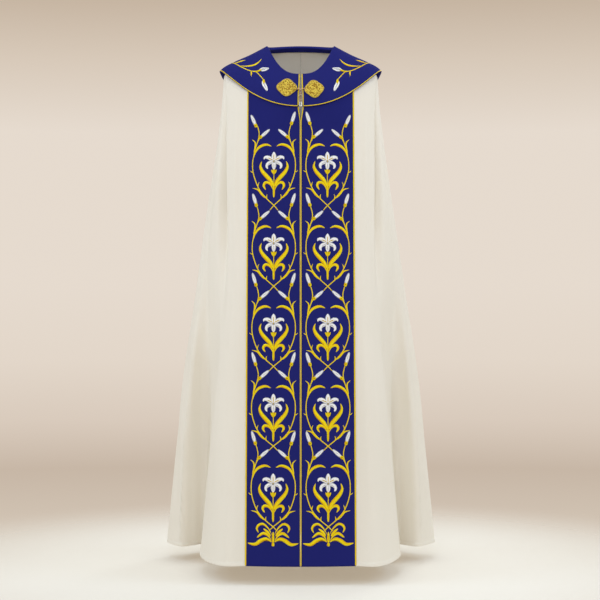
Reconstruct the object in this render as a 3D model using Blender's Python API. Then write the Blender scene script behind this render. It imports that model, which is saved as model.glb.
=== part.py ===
"""A cope: the long open mantle of a liturgical set, fastened at the breast and filled out as worn.

Metres, +Z up, the wearer faces -Y, and the origin is the middle of the neck opening at the height of
the shoulders. Left and right are the sides as seen from in front: left is -X. Every cut piece of cloth
is a thin closed wall, and whatever is sewn on a panel is made from that panel's own points, moved out.
"""
import math
from collections import namedtuple

import bmesh
import bpy
from mathutils import Matrix, Vector

# ---------------------------------------------------------------- driving dimensions
BODY_CLOTH = 0.0020       # wall of the cream body cloth with its lining
BAND_CLOTH = 0.0012       # wall of the blue bands down the fronts
COLLAR_CLOTH = 0.0020     # wall of the blue cape collar
BRAID_CLOTH = 0.0010      # thickness of the gold braids
CLEARANCE = 0.0003        # gap that sewn pieces keep from each other
BAND_REACH = 0.1535       # from the centre line to a band's outer edge
BAND_SHARE = 0.77         # the band's share of the half width above the shoulders
BRAID_WIDTH = 0.0040      # width of the braids along the bands
PIPING_WIDTH = 0.0032     # width of the gold edging of the collar
BAND_PLACE = 0.14         # where the band ends, as a share of a half ring from front to back
COLLAR_LIFT = 0.0042      # height of the collar's inner face over the body cloth
COLLAR_FLARE = 0.0125     # how much further its edge stands off at the points of the shoulders
COLLAR_BACK_FLARE = 0.0030
FOLD_GROWTH = 1.50        # how a fold deepens from where it begins down to the hem
FOLD_LEAN = 0.100         # how much nearer the front, in places, the folds stand higher up than at the hem
LEAN_HEIGHT = -0.90       # the height at and above which they stand that much nearer
KNEE_HEIGHT = -1.12       # the height of the knees, where the front lobe is at its fullest
LEFT = -1
RIGHT = 1

# Rings of the unfolded form. y is the depth at the centre front, at the widest place and at the centre
# back; z is the height of the ring at the same three places. square is the power of its outline, and the
# drapes say how evenly its edge falls from the side to the front and to the back.
Section = namedtuple("Section", "name half_width front_y side_y back_y front_z side_z back_z square"
                                " front_drape back_drape")
SECTIONS = [
    Section("neck",        0.098, -0.072, 0.004, 0.074, -0.096, -0.004,  0.010, 2.15, 2.60, 2.0),
    Section("fall_upper",  0.146, -0.097, 0.006, 0.104, -0.130, -0.030, -0.030, 2.10, 2.40, 2.2),
    Section("fall_lower",  0.191, -0.115, 0.008, 0.128, -0.164, -0.054, -0.110, 2.10, 2.20, 2.5),
    Section("collar_edge", 0.225, -0.126, 0.010, 0.142, -0.196, -0.082, -0.200, 2.10, 2.08, 2.8),
    Section("upper_arm",   0.231, -0.131, 0.010, 0.147, -0.236, -0.128, -0.245, 2.20, 2.00, 2.4),
    Section("chest",       0.238, -0.138, 0.012, 0.153, -0.305, -0.208, -0.315, 2.25, 2.00, 2.0),
    Section("elbow",       0.259, -0.152, 0.018, 0.165, -0.425, -0.352, -0.432, 2.30, 2.00, 2.0),
    Section("waist",       0.290, -0.176, 0.028, 0.184, -0.602, -0.556, -0.606, 2.35, 2.00, 2.0),
    Section("hip",         0.3175, -0.202, 0.040, 0.204, -0.782, -0.756, -0.784, 2.40, 2.00, 2.0),
    Section("thigh",       0.3435, -0.228, 0.052, 0.226, -0.962, -0.949, -0.963, 2.45, 2.00, 2.0),
    Section("knee",        0.368, -0.254, 0.064, 0.248, -1.141, -1.135, -1.142, 2.50, 2.00, 2.0),
    Section("calf",        0.389, -0.281, 0.076, 0.271, -1.318, -1.316, -1.318, 2.55, 2.00, 2.0),
    Section("hem",         0.409, -0.308, 0.088, 0.294, -1.493, -1.493, -1.493, 2.60, 2.00, 2.0),
]
COLLAR_ROW = 3
HEM_ROW = len(SECTIONS) - 1

# Crests and troughs of the folds where they reach the hem, from the band round to the centre back.
# across and depth are |x| and y at the hem, and begins is the height at which the fold starts. The last
# two are how much further out and back it stands at the knees: the front lobe is flatter there.
Fold = namedtuple("Fold", "name across depth begins knee_across knee_depth", defaults=(0.0, 0.0))
LEFT_FOLDS = [
    Fold("front_lobe_crest",   0.213, -0.298, -0.40, 0.000, -0.008),
    Fold("front_lobe_side",    0.265, -0.222, -0.40, 0.004, -0.030),
    Fold("front_lobe_edge",    0.293, -0.095, -0.40, 0.004, -0.037),
    Fold("front_valley_wall",  0.278,  0.010, -0.42, -0.008, -0.010),
    Fold("front_valley",       0.292,  0.090, -0.42, -0.014,  0.004),
    Fold("side_lobe_inner",    0.322,  0.062, -0.44, -0.004,  0.002),
    Fold("side_lobe_front",    0.361,  0.041, -0.48),
    Fold("side_lobe_crest",    0.409,  0.130, -0.50),
    Fold("side_lobe_back",     0.384,  0.206, -0.42),
    Fold("side_valley",        0.330,  0.226, -0.34),
    Fold("back_crest_outer",   0.268,  0.316, -0.30),
    Fold("back_valley_outer",  0.186,  0.262, -0.28),
    Fold("back_crest_inner",   0.112,  0.346, -0.26),
]
RIGHT_FOLDS = [
    Fold("front_lobe_crest",   0.210, -0.304, -0.38, 0.000, -0.008),
    Fold("front_lobe_side",    0.256, -0.240, -0.38, 0.005, -0.022),
    Fold("front_lobe_edge",    0.291, -0.105, -0.40, 0.004, -0.036),
    Fold("front_valley_wall",  0.278,  0.004, -0.42, -0.008, -0.008),
    Fold("front_valley",       0.294,  0.080, -0.44, -0.014,  0.006),
    Fold("side_lobe_inner",    0.320,  0.060, -0.46, -0.004,  0.002),
    Fold("side_lobe_front",    0.355,  0.039, -0.50),
    Fold("side_lobe_crest",    0.410,  0.126, -0.50),
    Fold("side_lobe_back",     0.390,  0.200, -0.42),
    Fold("side_valley",        0.340,  0.230, -0.36),
    Fold("back_crest_outer",   0.282,  0.312, -0.28),
    Fold("back_valley_outer",  0.200,  0.258, -0.30),
    Fold("back_crest_inner",   0.118,  0.342, -0.24),
]
FOLDS = {LEFT: LEFT_FOLDS, RIGHT: RIGHT_FOLDS}
CENTRE_BACK = Fold("centre_back", 0.000, 0.276, -0.28)

# Half of the gap between the two fronts, by height: they part at the breast and meet below it.
Parting = namedtuple("Parting", "height half_gap")
PARTINGS = [
    Parting(-0.096, 0.0026),
    Parting(-0.130, 0.0032),
    Parting(-0.160, 0.0056),
    Parting(-0.200, 0.0056),
    Parting(-0.236, 0.0004),
]

# The two morse patches of gold thread: centre, half diagonals and lean in the plane of the front.
Patch = namedtuple("Patch", "name across height half_width half_height lean")
PATCHES = [
    Patch("morse_left", -0.0403, -0.1362, 0.0295, 0.0273, math.radians(-4)),
    Patch("morse_right", 0.0391, -0.1408, 0.0280, 0.0272, math.radians(7)),
]
PATCH_GAP = 0.0006
PATCH_EDGE = 0.0022       # thickness at the rim of a patch
PATCH_CROWN = 0.0040      # thickness at its middle
PATCH_SPOKES = 16
PATCH_POWER = 1.45        # 2 would be an ellipse and 1 a sharp diamond

# The clasp between the patches, and the chain that hangs from it and swings.
CLASP_HEIGHT = -0.1414
CLASP_STANDOFF = 0.0145   # of the clasp's bar from the body cloth
BAR_RADIUS = 0.0011
BAR_LEFT = -0.0100
BAR_RIGHT = 0.0125
EYE_ACROSS = -0.0075
EYE_RADIUS = 0.0034
LINK_LENGTH = 0.0120
LINK_WIDTH = 0.0078
LINK_WIRE = 0.0017        # diameter of the wire of a link
LINK_COUNT = 5
LINK_ARC_STEPS = 5
HOOK_LENGTH = 0.0200
HOOK_WIDTH = 0.0068
HOOK_WIRE = 0.0019

BAND_COLUMNS = 5
BODY_COLUMNS = 45         # from the band's edge round to the centre back


# ---------------------------------------------------------------- the form that carries everything
def cubic(before, start, end, after, share):
    """A value on the smooth curve through four in a row, between the middle two."""
    slope_in = (end - before) / 2
    slope_out = (after - start) / 2
    s2 = share * share
    s3 = s2 * share
    return ((2 * s3 - 3 * s2 + 1) * start + (s3 - 2 * s2 + share) * slope_in
            + (3 * s2 - 2 * s3) * end + (s3 - s2) * slope_out)


def along(values, position):
    """Smooth value at a fractional position in a list of numbers."""
    last = len(values) - 1
    index = min(int(position), last - 1)
    before = values[max(index - 1, 0)]
    after = values[min(index + 2, last)]
    return cubic(before, values[index], values[index + 1], after, position - index)


def section_at(row):
    """The ring at a fractional row of the section table."""
    numbers = [along([section[k] for section in SECTIONS], row) for k in range(1, len(Section._fields))]
    return Section("ring", *numbers)


def half_gap(height):
    """Half the distance between the two front edges at this height."""
    if height >= PARTINGS[0].height:
        return PARTINGS[0].half_gap
    for upper, lower in zip(PARTINGS, PARTINGS[1:]):
        if height > lower.height:
            share = (upper.height - height) / (upper.height - lower.height)
            return upper.half_gap + (lower.half_gap - upper.half_gap) * share
    return PARTINGS[-1].half_gap


def unfolded(place, row):
    """A point of the form without folds, and its angle round the ring from the front."""
    ring = section_at(row)
    reach = min(BAND_REACH, BAND_SHARE * ring.half_width)
    band_angle = math.asin((reach / ring.half_width) ** (ring.square / 2))
    if place <= BAND_PLACE:
        gap = half_gap(ring.front_z)
        x = gap + (reach - gap) * place / BAND_PLACE
        angle = math.asin((x / ring.half_width) ** (ring.square / 2))
    else:
        share = (place - BAND_PLACE) / (1 - BAND_PLACE)
        angle = band_angle + (math.pi - band_angle) * min(share, 1.0)
        x = ring.half_width * max(math.sin(angle), 0.0) ** (2 / ring.square)
    toward = math.cos(angle)
    end_y = ring.front_y if toward > 0 else ring.back_y
    end_z = ring.front_z if toward > 0 else ring.back_z
    drape = ring.front_drape if toward > 0 else ring.back_drape
    y = ring.side_y + (end_y - ring.side_y) * abs(toward) ** (2 / ring.square)
    z = ring.side_z + (end_z - ring.side_z) * (1 - abs(math.sin(angle)) ** drape)
    return Vector((x, y, z)), angle


def hem_line(side):
    """Places, points and beginnings of the folds at the hem, with the band's edge and the back."""
    edge, _ = unfolded(BAND_PLACE, HEM_ROW)
    rows = [Fold("band_edge", edge.x, edge.y, FOLDS[side][0].begins)] + FOLDS[side] + [CENTRE_BACK]
    lengths = [0.0]
    for one, two in zip(rows, rows[1:]):
        lengths.append(lengths[-1] + math.hypot(two.across - one.across, two.depth - one.depth))
    places = [BAND_PLACE + (1 - BAND_PLACE) * length / lengths[-1] for length in lengths]
    return places, rows


HEM_LINES = {LEFT: hem_line(LEFT), RIGHT: hem_line(RIGHT)}


def ease(share):
    """0 below 0, 1 above 1, and a soft step between."""
    share = min(max(share, 0.0), 1.0)
    return share * share * (3 - 2 * share)


def hem_place(place, height):
    """The place at the hem to which the fold through this place and height runs."""
    hem = SECTIONS[-1].front_z
    lean = FOLD_LEAN * min(max((height - hem) / (LEAN_HEIGHT - hem), 0.0), 1.0)
    return place + lean * ease((place - BAND_PLACE) / 0.16) * ease((1 - place) / 0.75)


def fold_shift(side, place, height):
    """How far the folds move the cloth from the unfolded form, as x and y."""
    if place <= BAND_PLACE:
        return 0.0, 0.0
    places, rows = HEM_LINES[side]
    place = hem_place(place, height)
    index = 0
    while index < len(places) - 2 and place > places[index + 1]:
        index += 1
    position = index + (place - places[index]) / (places[index + 1] - places[index])
    # one row more on each side keeps the curve square to the band and to the centre back
    before = rows[0]._replace(across=2 * rows[0].across - rows[1].across)
    after = rows[-1]._replace(across=-rows[-2].across, depth=rows[-2].depth)
    table = [before] + rows + [after]
    across, depth, begins, knee_across, knee_depth = (
        along([row[k] for row in table], position + 1) for k in range(1, 6))
    base, _ = unfolded(place, HEM_ROW)
    hem = SECTIONS[-1].front_z
    share = min(max((begins - height) / (begins - hem), 0.0), 1.0) ** FOLD_GROWTH
    knee = ease((-0.66 - height) / (-0.66 - KNEE_HEIGHT)) * ease((height - hem) / (KNEE_HEIGHT - hem))
    return (across - base.x) * share + knee_across * knee, (depth - base.y) * share + knee_depth * knee


def form(side, place, row):
    """A point of the outer face of the body cloth, with x still positive, and its angle."""
    point, angle = unfolded(place, row)
    shift_x, shift_y = fold_shift(side, place, point.z)
    return Vector((point.x + shift_x, point.y + shift_y, point.z)), angle


def outward(side, place, row):
    """The direction out of the cloth at a place of the form."""
    step = 0.002
    ahead, _ = form(side, min(place + step, 1.0), row)
    behind, _ = form(side, max(place - step, 0.0), row)
    below, _ = form(side, place, min(row + step, HEM_ROW))
    above, _ = form(side, place, max(row - step, 0.0))
    normal = (below - above).cross(ahead - behind)
    if place >= 1.0:
        normal.x = 0.0
    return normal.normalized()


def on_form(side, place, row, height):
    """A point at this height over the body cloth, on its own side of the garment."""
    point, _ = form(side, place, row)
    point = point + outward(side, place, row) * height
    return Vector((point.x * side, point.y, point.z))


def collar_height(side, place, row):
    """How far the collar's inner face stands off the body cloth."""
    _, angle = form(side, place, row)
    share = row / COLLAR_ROW
    flare = COLLAR_FLARE * math.sin(angle) ** 6
    if angle > math.pi / 2:
        flare = max(flare, COLLAR_BACK_FLARE)
    return COLLAR_LIFT + flare * share ** 2.5


def piping_row(side, place):
    """The row where the collar's edging begins, a piping's width above the collar's edge."""
    low, _ = form(side, place, COLLAR_ROW)
    high, _ = form(side, place, COLLAR_ROW - 0.2)
    return COLLAR_ROW - 0.2 * PIPING_WIDTH / (low - high).length


def on_collar_front(side, x, z, height):
    """A point over the collar's outer face that has this x and z, found by a few Newton steps."""
    place = BAND_PLACE * abs(x) / BAND_REACH
    row = 1.5
    step = 0.001

    def miss(place, row):
        lift = collar_height(side, place, row) + COLLAR_CLOTH + height
        point = on_form(side, place, row, lift)
        return point, abs(point.x) - abs(x), point.z - z

    for _ in range(8):
        point, miss_x, miss_z = miss(place, row)
        _, place_x, place_z = miss(place + step, row)
        _, row_x, row_z = miss(place, row + step)
        a = (place_x - miss_x) / step
        b = (row_x - miss_x) / step
        c = (place_z - miss_z) / step
        d = (row_z - miss_z) / step
        scale = a * d - b * c
        place -= (d * miss_x - b * miss_z) / scale
        row -= (a * miss_z - c * miss_x) / scale
    return point


# ---------------------------------------------------------------- columns and rows of the cut pieces
def band_places():
    """Columns over a band: its inner braid, its plain cloth and its outer braid."""
    braid = BAND_PLACE * BRAID_WIDTH / BAND_REACH
    plain = BAND_PLACE - 2 * braid
    inner = [braid + plain * k / (BAND_COLUMNS - 2) for k in range(BAND_COLUMNS - 1)]
    return [0.0] + inner + [BAND_PLACE]


def body_places():
    """Columns from the front edge round to the centre back, which stops short of the seam."""
    step = (1 - BAND_PLACE) / BODY_COLUMNS
    return band_places() + [BAND_PLACE + step * k for k in range(1, BODY_COLUMNS + 1)]


def collar_places():
    """Every other column of the body behind the band, which is enough for the collar."""
    places = body_places()
    split = BAND_COLUMNS + 1
    return places[:split] + places[split::2][:-1] + [1.0]


# ---------------------------------------------------------------- meshes
def finish_object(name, mesh, material):
    """Link a mesh as a named object with its material, and shade its round stretches smooth."""
    mesh.materials.append(material)
    mesh.shade_smooth()
    mesh.set_sharp_from_angle(angle=math.radians(50))
    item = bpy.data.objects.new(name, mesh)
    bpy.context.collection.objects.link(item)
    return item


def wall(name, outer, inner, material):
    """A closed thin wall between two grids of points that have the same rows and columns."""
    shell = bmesh.new()
    faces = []
    for grid in (outer, inner):
        faces.append([[shell.verts.new(point) for point in row] for row in grid])
    rows = len(outer)
    columns = len(outer[0])
    front, back = faces
    for i in range(rows - 1):
        for j in range(columns - 1):
            shell.faces.new((front[i][j], front[i + 1][j], front[i + 1][j + 1], front[i][j + 1]))
            shell.faces.new((back[i][j], back[i][j + 1], back[i + 1][j + 1], back[i + 1][j]))
    for j in range(columns - 1):
        for i in (0, rows - 1):
            shell.faces.new((front[i][j], front[i][j + 1], back[i][j + 1], back[i][j]))
    for i in range(rows - 1):
        for j in (0, columns - 1):
            shell.faces.new((front[i][j], front[i + 1][j], back[i + 1][j], back[i][j]))
    bmesh.ops.recalc_face_normals(shell, faces=shell.faces)
    mesh = bpy.data.meshes.new(name)
    shell.to_mesh(mesh)
    shell.free()
    return finish_object(name, mesh, material)


def layer(name, side, places, rows, low, high, material):
    """A piece that lies over the body cloth, from the low to the high height over it."""
    outer = [[on_form(side, place, row, high) for place in places] for row in rows]
    inner = [[on_form(side, place, row, low) for place in places] for row in rows]
    return wall(name, outer, inner, material)


def collar_grid(rows_at, extra):
    """Points of the collar from the left front edge round the back to the right one."""
    places = collar_places()
    grid = []
    for index in range(len(rows_at(LEFT, 0.0))):
        points = []
        for side, order in ((LEFT, places), (RIGHT, places[-2::-1])):
            for place in order:
                row = rows_at(side, place)[index]
                lift = collar_height(side, place, row) + extra
                points.append(on_form(side, place, row, lift))
        grid.append(points)
    return grid


def tube(name, points, radius, material, cyclic=False, sides=1):
    """A round wire along points; sides is the curve's bevel resolution."""
    curve = bpy.data.curves.new(name, "CURVE")
    curve.dimensions = "3D"
    curve.bevel_depth = radius
    curve.bevel_resolution = sides
    curve.use_fill_caps = not cyclic
    spline = curve.splines.new("POLY")
    spline.points.add(len(points) - 1)
    for target, point in zip(spline.points, points):
        target.co = (point.x, point.y, point.z, 1.0)
    spline.use_cyclic_u = cyclic
    curve.materials.append(material)
    item = bpy.data.objects.new(name, curve)
    bpy.context.collection.objects.link(item)
    return item


def material(name, colour, roughness, metallic=0.0):
    """A Principled material of one finish."""
    made = bpy.data.materials.new(name)
    made.use_nodes = True
    shader = made.node_tree.nodes["Principled BSDF"]
    shader.inputs["Base Color"].default_value = (*colour, 1.0)
    shader.inputs["Roughness"].default_value = roughness
    shader.inputs["Metallic"].default_value = metallic
    return made


# ---------------------------------------------------------------- the pieces
def make_body(cream):
    """The two halves of the body, which meet at a centre-back seam."""
    rows = range(HEM_ROW + 1)
    for side, name in ((LEFT, "body_left"), (RIGHT, "body_right")):
        item = layer(name, side, body_places(), rows, -BODY_CLOTH, 0.0, cream)
        for vertex in item.data.vertices:
            if abs(vertex.co.x) < CLEARANCE / 2:
                vertex.co.x = side * CLEARANCE / 2


def make_bands(blue, gold):
    """The blue bands on the fronts, each with a gold braid down both of its edges."""
    places = band_places()
    rows = range(HEM_ROW + 1)
    braid_low = 2 * CLEARANCE + BAND_CLOTH
    braid_high = braid_low + BRAID_CLOTH
    under_collar = COLLAR_ROW - 0.1
    for side, end in ((LEFT, "left"), (RIGHT, "right")):
        layer("band_" + end, side, places, rows, CLEARANCE, CLEARANCE + BAND_CLOTH, blue)
        below = [under_collar] + list(rows[COLLAR_ROW:])
        layer("front_braid_" + end, side, places[:2], below, braid_low, braid_high, gold)
        layer("side_braid_" + end, side, places[-2:], rows[COLLAR_ROW - 1:], braid_low, braid_high, gold)


def make_collar(blue, gold):
    """The cape collar, its edging round the lower edge and the braids up its front edges."""
    def cloth_rows(side, place):
        return [0, 1, 2, piping_row(side, place), COLLAR_ROW]

    def edging_rows(side, place):
        return [piping_row(side, place), COLLAR_ROW]

    wall("cape_collar", collar_grid(cloth_rows, COLLAR_CLOTH), collar_grid(cloth_rows, 0.0), blue)
    low = COLLAR_CLOTH + CLEARANCE
    high = low + BRAID_CLOTH
    wall("collar_piping", collar_grid(edging_rows, high), collar_grid(edging_rows, low), gold)
    for side, end in ((LEFT, "left"), (RIGHT, "right")):
        places = band_places()[:2]
        stop = piping_row(side, 0.0) - 0.02
        rows = [0, 1, 2, stop]
        outer = []
        inner = []
        for row in rows:
            lift = collar_height(side, 0.0, row)
            outer.append([on_form(side, place, row, lift + high) for place in places])
            inner.append([on_form(side, place, row, lift + low) for place in places])
        wall("collar_braid_" + end, outer, inner, gold)


def make_patch(patch, gold):
    """One morse patch: a rounded diamond, crowned in the middle, lying on the collar."""
    side = LEFT if patch.across < 0 else RIGHT
    shell = bmesh.new()

    def ring(share, height):
        corners = []
        for k in range(PATCH_SPOKES):
            turn = 2 * math.pi * k / PATCH_SPOKES
            reach = (abs(math.cos(turn)) ** PATCH_POWER + abs(math.sin(turn)) ** PATCH_POWER)
            reach = share * reach ** (-1 / PATCH_POWER)
            flat = Vector((patch.half_width * reach * math.cos(turn),
                           patch.half_height * reach * math.sin(turn), 0))
            flat.rotate(Matrix.Rotation(patch.lean, 3, "Z"))
            point = on_collar_front(side, patch.across + flat.x, patch.height + flat.y, height)
            corners.append(shell.verts.new(point))
        return corners

    rise = PATCH_CROWN - PATCH_EDGE
    rings = [ring(1.0, PATCH_GAP), ring(1.0, PATCH_GAP + PATCH_EDGE),
             ring(0.6, PATCH_GAP + PATCH_EDGE + 0.7 * rise)]
    for low, high in zip(rings, rings[1:]):
        for k in range(PATCH_SPOKES):
            n = (k + 1) % PATCH_SPOKES
            shell.faces.new((low[k], low[n], high[n], high[k]))
    for corners, height in ((rings[0], PATCH_GAP), (rings[-1], PATCH_GAP + PATCH_CROWN)):
        middle = shell.verts.new(on_collar_front(side, patch.across, patch.height, height))
        for k in range(PATCH_SPOKES):
            shell.faces.new((corners[k], corners[(k + 1) % PATCH_SPOKES], middle))
    bmesh.ops.recalc_face_normals(shell, faces=shell.faces)
    mesh = bpy.data.meshes.new(patch.name)
    shell.to_mesh(mesh)
    shell.free()
    return finish_object(patch.name, mesh, gold)


def centre_front(height, standoff):
    """A point on the centre line at this height, standing off the body cloth."""
    low = 0.0
    high = float(HEM_ROW)
    for _ in range(40):
        row = (low + high) / 2
        if section_at(row).front_z > height:
            low = row
        else:
            high = row
    ring = section_at(row)
    out = outward(LEFT, 0.0, row)
    return Vector((0.0, ring.front_y + out.y * standoff, ring.front_z))


def loop_points(centre, down, across, length, width):
    """Points round a link: two straight sides and two half circles, in the plane of its wire."""
    radius = width / 2
    straight = length / 2 - radius
    points = []
    for end in (1, -1):
        for k in range(LINK_ARC_STEPS + 1):
            turn = math.pi * k / LINK_ARC_STEPS
            offset = across * (radius * math.cos(turn) * end)
            points.append(centre + down * (end * (straight + radius * math.sin(turn))) + offset)
    return points


def make_clasp(metal):
    """The fastened hook and eye, and the chain with its small hook that hangs from the bar."""
    bar = centre_front(CLASP_HEIGHT, CLASP_STANDOFF)
    foot = centre_front(CLASP_HEIGHT - 0.066, CLASP_STANDOFF)
    down = (foot - bar).normalized()
    out = Vector((0, down.z, -down.y))
    right = Vector((1, 0, 0))
    ends = [(BAR_LEFT, 0.0030), (BAR_LEFT - 0.0006, 0.0012), (BAR_LEFT + 0.0006, 0.0),
            (BAR_RIGHT, 0.0), (BAR_RIGHT + 0.0035, 0.0002)]
    tube("clasp_hook", [bar + right * x + down * drop for x, drop in ends], BAR_RADIUS, metal)
    eye = [bar + right * EYE_ACROSS + (down * math.cos(turn) + out * math.sin(turn)) * EYE_RADIUS
           for turn in [2 * math.pi * k / 14 for k in range(14)]]
    tube("clasp_eye", eye, LINK_WIRE / 2, metal, cyclic=True)
    wire = LINK_WIRE / 2
    inner_length = LINK_LENGTH - LINK_WIRE
    first = LINK_LENGTH / 2 - LINK_WIRE - CLEARANCE - BAR_RADIUS
    pitch = LINK_LENGTH - 2 * LINK_WIRE - CLEARANCE
    for k in range(LINK_COUNT):
        centre = bar + down * (first + pitch * k)
        across = right if k % 2 else out
        points = loop_points(centre, down, across, inner_length, LINK_WIDTH - LINK_WIRE)
        tube("chain_link_%d" % (k + 1), points, wire, metal, cyclic=True)
    last_inner = first + pitch * (LINK_COUNT - 1) + LINK_LENGTH / 2 - LINK_WIRE
    top = last_inner - CLEARANCE - HOOK_WIRE / 2
    centre = bar + down * (top + (HOOK_LENGTH - HOOK_WIRE) / 2)
    across = right if LINK_COUNT % 2 else out
    points = loop_points(centre, down, across, HOOK_LENGTH - HOOK_WIRE, HOOK_WIDTH - HOOK_WIRE)
    tube("chain_hook", points, HOOK_WIRE / 2, metal, cyclic=True)


def main():
    for item in list(bpy.data.objects):
        bpy.data.objects.remove(item, do_unlink=True)
    cream = material("cream_cloth", (0.80, 0.76, 0.67), 0.75)
    blue = material("blue_cloth", (0.018, 0.020, 0.155), 0.70)
    gold = material("gold_thread", (0.76, 0.50, 0.06), 0.45, 0.35)
    metal = material("clasp_metal", (0.72, 0.68, 0.58), 0.30, 1.0)
    make_body(cream)
    make_bands(blue, gold)
    make_collar(blue, gold)
    for patch in PATCHES:
        make_patch(patch, gold)
    make_clasp(metal)


main()
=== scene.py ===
# %% [markdown]
# # A cope, made the way a tailor and an embroiderer make it
# A cope is the long open mantle of a set of church vestments. Two wide panels of cream cloth, joined down
# the back, hang from the shoulders. Two blue bands of embroidery run down the front edges, and a blue
# cape collar lies over the shoulders. A clasp with a short chain holds it together at the breast.
#
# This lesson builds the cloth, the needlework and the metal around a finished frame. The frame knows the
# sizes and what moves, so the first step is to load it and to keep its box.

# %% Load the frame
import math
from collections import namedtuple

import bmesh
import bpy
import numpy as np
from mathutils import Matrix, Vector


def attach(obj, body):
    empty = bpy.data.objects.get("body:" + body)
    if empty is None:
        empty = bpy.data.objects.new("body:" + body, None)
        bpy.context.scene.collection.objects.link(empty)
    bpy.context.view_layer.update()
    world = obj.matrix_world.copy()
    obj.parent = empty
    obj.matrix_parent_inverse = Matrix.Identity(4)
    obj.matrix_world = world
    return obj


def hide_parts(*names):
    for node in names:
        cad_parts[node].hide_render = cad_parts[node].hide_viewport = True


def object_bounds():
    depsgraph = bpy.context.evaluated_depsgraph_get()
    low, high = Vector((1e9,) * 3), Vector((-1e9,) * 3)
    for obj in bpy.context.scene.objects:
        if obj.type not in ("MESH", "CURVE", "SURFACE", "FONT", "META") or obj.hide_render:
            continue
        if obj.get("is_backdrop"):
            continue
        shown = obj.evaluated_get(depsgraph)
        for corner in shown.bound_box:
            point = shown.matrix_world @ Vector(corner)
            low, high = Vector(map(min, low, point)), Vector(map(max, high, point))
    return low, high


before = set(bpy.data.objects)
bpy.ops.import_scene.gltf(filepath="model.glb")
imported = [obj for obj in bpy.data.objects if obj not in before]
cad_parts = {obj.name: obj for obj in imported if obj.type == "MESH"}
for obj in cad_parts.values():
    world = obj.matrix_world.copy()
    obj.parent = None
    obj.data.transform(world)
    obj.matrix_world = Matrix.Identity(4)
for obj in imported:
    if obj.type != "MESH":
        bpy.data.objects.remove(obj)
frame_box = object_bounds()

LEFT = -1
RIGHT = 1
SIDES = ((LEFT, "left"), (RIGHT, "right"))


def show_box(name, box):
    """Prints a box to the millimetre."""
    print(name, [[round(value, 3) for value in corner] for corner in box])


show_box("frame box", frame_box)

# %% [markdown]
# ## A smooth curve through a few numbers
# Almost everything on a garment is a soft curve: an edge, a fold, a stem of the embroidery. One helper
# draws a smooth curve through a short list of numbers, and takes a whole array of positions at once,
# which is what makes it quick. A position of 2.5 is half way between the third number and the fourth.

# %% Smooth curves
def along(values, position):
    """Smooth values at fractional positions in a list of numbers, or in a list of points."""
    values = np.asarray(values, float)
    position = np.asarray(position, float)
    last = len(values) - 1
    index = np.clip(np.floor(position).astype(int), 0, last - 1)
    start, end = values[index], values[index + 1]
    slope_in = (end - values[np.maximum(index - 1, 0)]) / 2
    slope_out = (values[np.minimum(index + 2, last)] - start) / 2
    share = (position - index).reshape(position.shape + (1,) * (values.ndim - 1))
    s2 = share * share
    s3 = s2 * share
    return ((2 * s3 - 3 * s2 + 1) * start + (s3 - 2 * s2 + share) * slope_in
            + (3 * s2 - 2 * s3) * end + (s3 - s2) * slope_out)


def ease(share):
    """0 below 0, 1 above 1, and a soft step between."""
    share = np.clip(share, 0.0, 1.0)
    return share * share * (3 - 2 * share)


# %% [markdown]
# ## The form that the cloth hangs in
# A cope has no side seams and no sleeves: its shape is what the shoulders and its own weight give it.
# It is described by rings, one under the other, from the neck to the hem. Each ring has a half width, a
# depth and a height at the front, the side and the back, and a power that makes it rounder or squarer.
# A *place* runs round half a ring, from 0 at the front edge to 1 at the centre back, and a *row* runs
# down the rings. The frame's own solids were made on the same rings, so what is sewn here lies on them.

# %% The rings of the form
BAND_REACH = 0.1535       # from the centre line to a band's outer edge
BAND_SHARE = 0.77         # the band's share of the half width above the shoulders
BAND_PLACE = 0.14         # the place where the band ends
RINGS = np.array([
    # half width, y at front, side, back, height at front, side, back, power, front and back drape
    (0.098, -0.072, 0.004, 0.074, -0.096, -0.004, 0.010, 2.15, 2.60, 2.0),
    (0.146, -0.097, 0.006, 0.104, -0.130, -0.030, -0.030, 2.10, 2.40, 2.2),
    (0.191, -0.115, 0.008, 0.128, -0.164, -0.054, -0.110, 2.10, 2.20, 2.5),
    (0.225, -0.126, 0.010, 0.142, -0.196, -0.082, -0.200, 2.10, 2.08, 2.8),
    (0.231, -0.131, 0.010, 0.147, -0.236, -0.128, -0.245, 2.20, 2.00, 2.4),
    (0.238, -0.138, 0.012, 0.153, -0.305, -0.208, -0.315, 2.25, 2.00, 2.0),
    (0.259, -0.152, 0.018, 0.165, -0.425, -0.352, -0.432, 2.30, 2.00, 2.0),
    (0.290, -0.176, 0.028, 0.184, -0.602, -0.556, -0.606, 2.35, 2.00, 2.0),
    (0.3175, -0.202, 0.040, 0.204, -0.782, -0.756, -0.784, 2.40, 2.00, 2.0),
    (0.3435, -0.228, 0.052, 0.226, -0.962, -0.949, -0.963, 2.45, 2.00, 2.0),
    (0.368, -0.254, 0.064, 0.248, -1.141, -1.135, -1.142, 2.50, 2.00, 2.0),
    (0.389, -0.281, 0.076, 0.271, -1.318, -1.316, -1.318, 2.55, 2.00, 2.0),
    (0.409, -0.308, 0.088, 0.294, -1.493, -1.493, -1.493, 2.60, 2.00, 2.0),
])
COLLAR_ROW = 3
HEM_ROW = len(RINGS) - 1
HEM_HEIGHT = RINGS[-1][4]
# half of the gap between the two front edges, by height
GAP_HEIGHTS = (-0.236, -0.200, -0.160, -0.130, -0.096)
GAP_HALVES = (0.0004, 0.0056, 0.0056, 0.0032, 0.0026)


def band_limits(width, front_z):
    """Distances from the centre line to a band's outer edge and to its front edge."""
    return np.minimum(BAND_REACH, BAND_SHARE * width), np.interp(front_z, GAP_HEIGHTS, GAP_HALVES)


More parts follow.
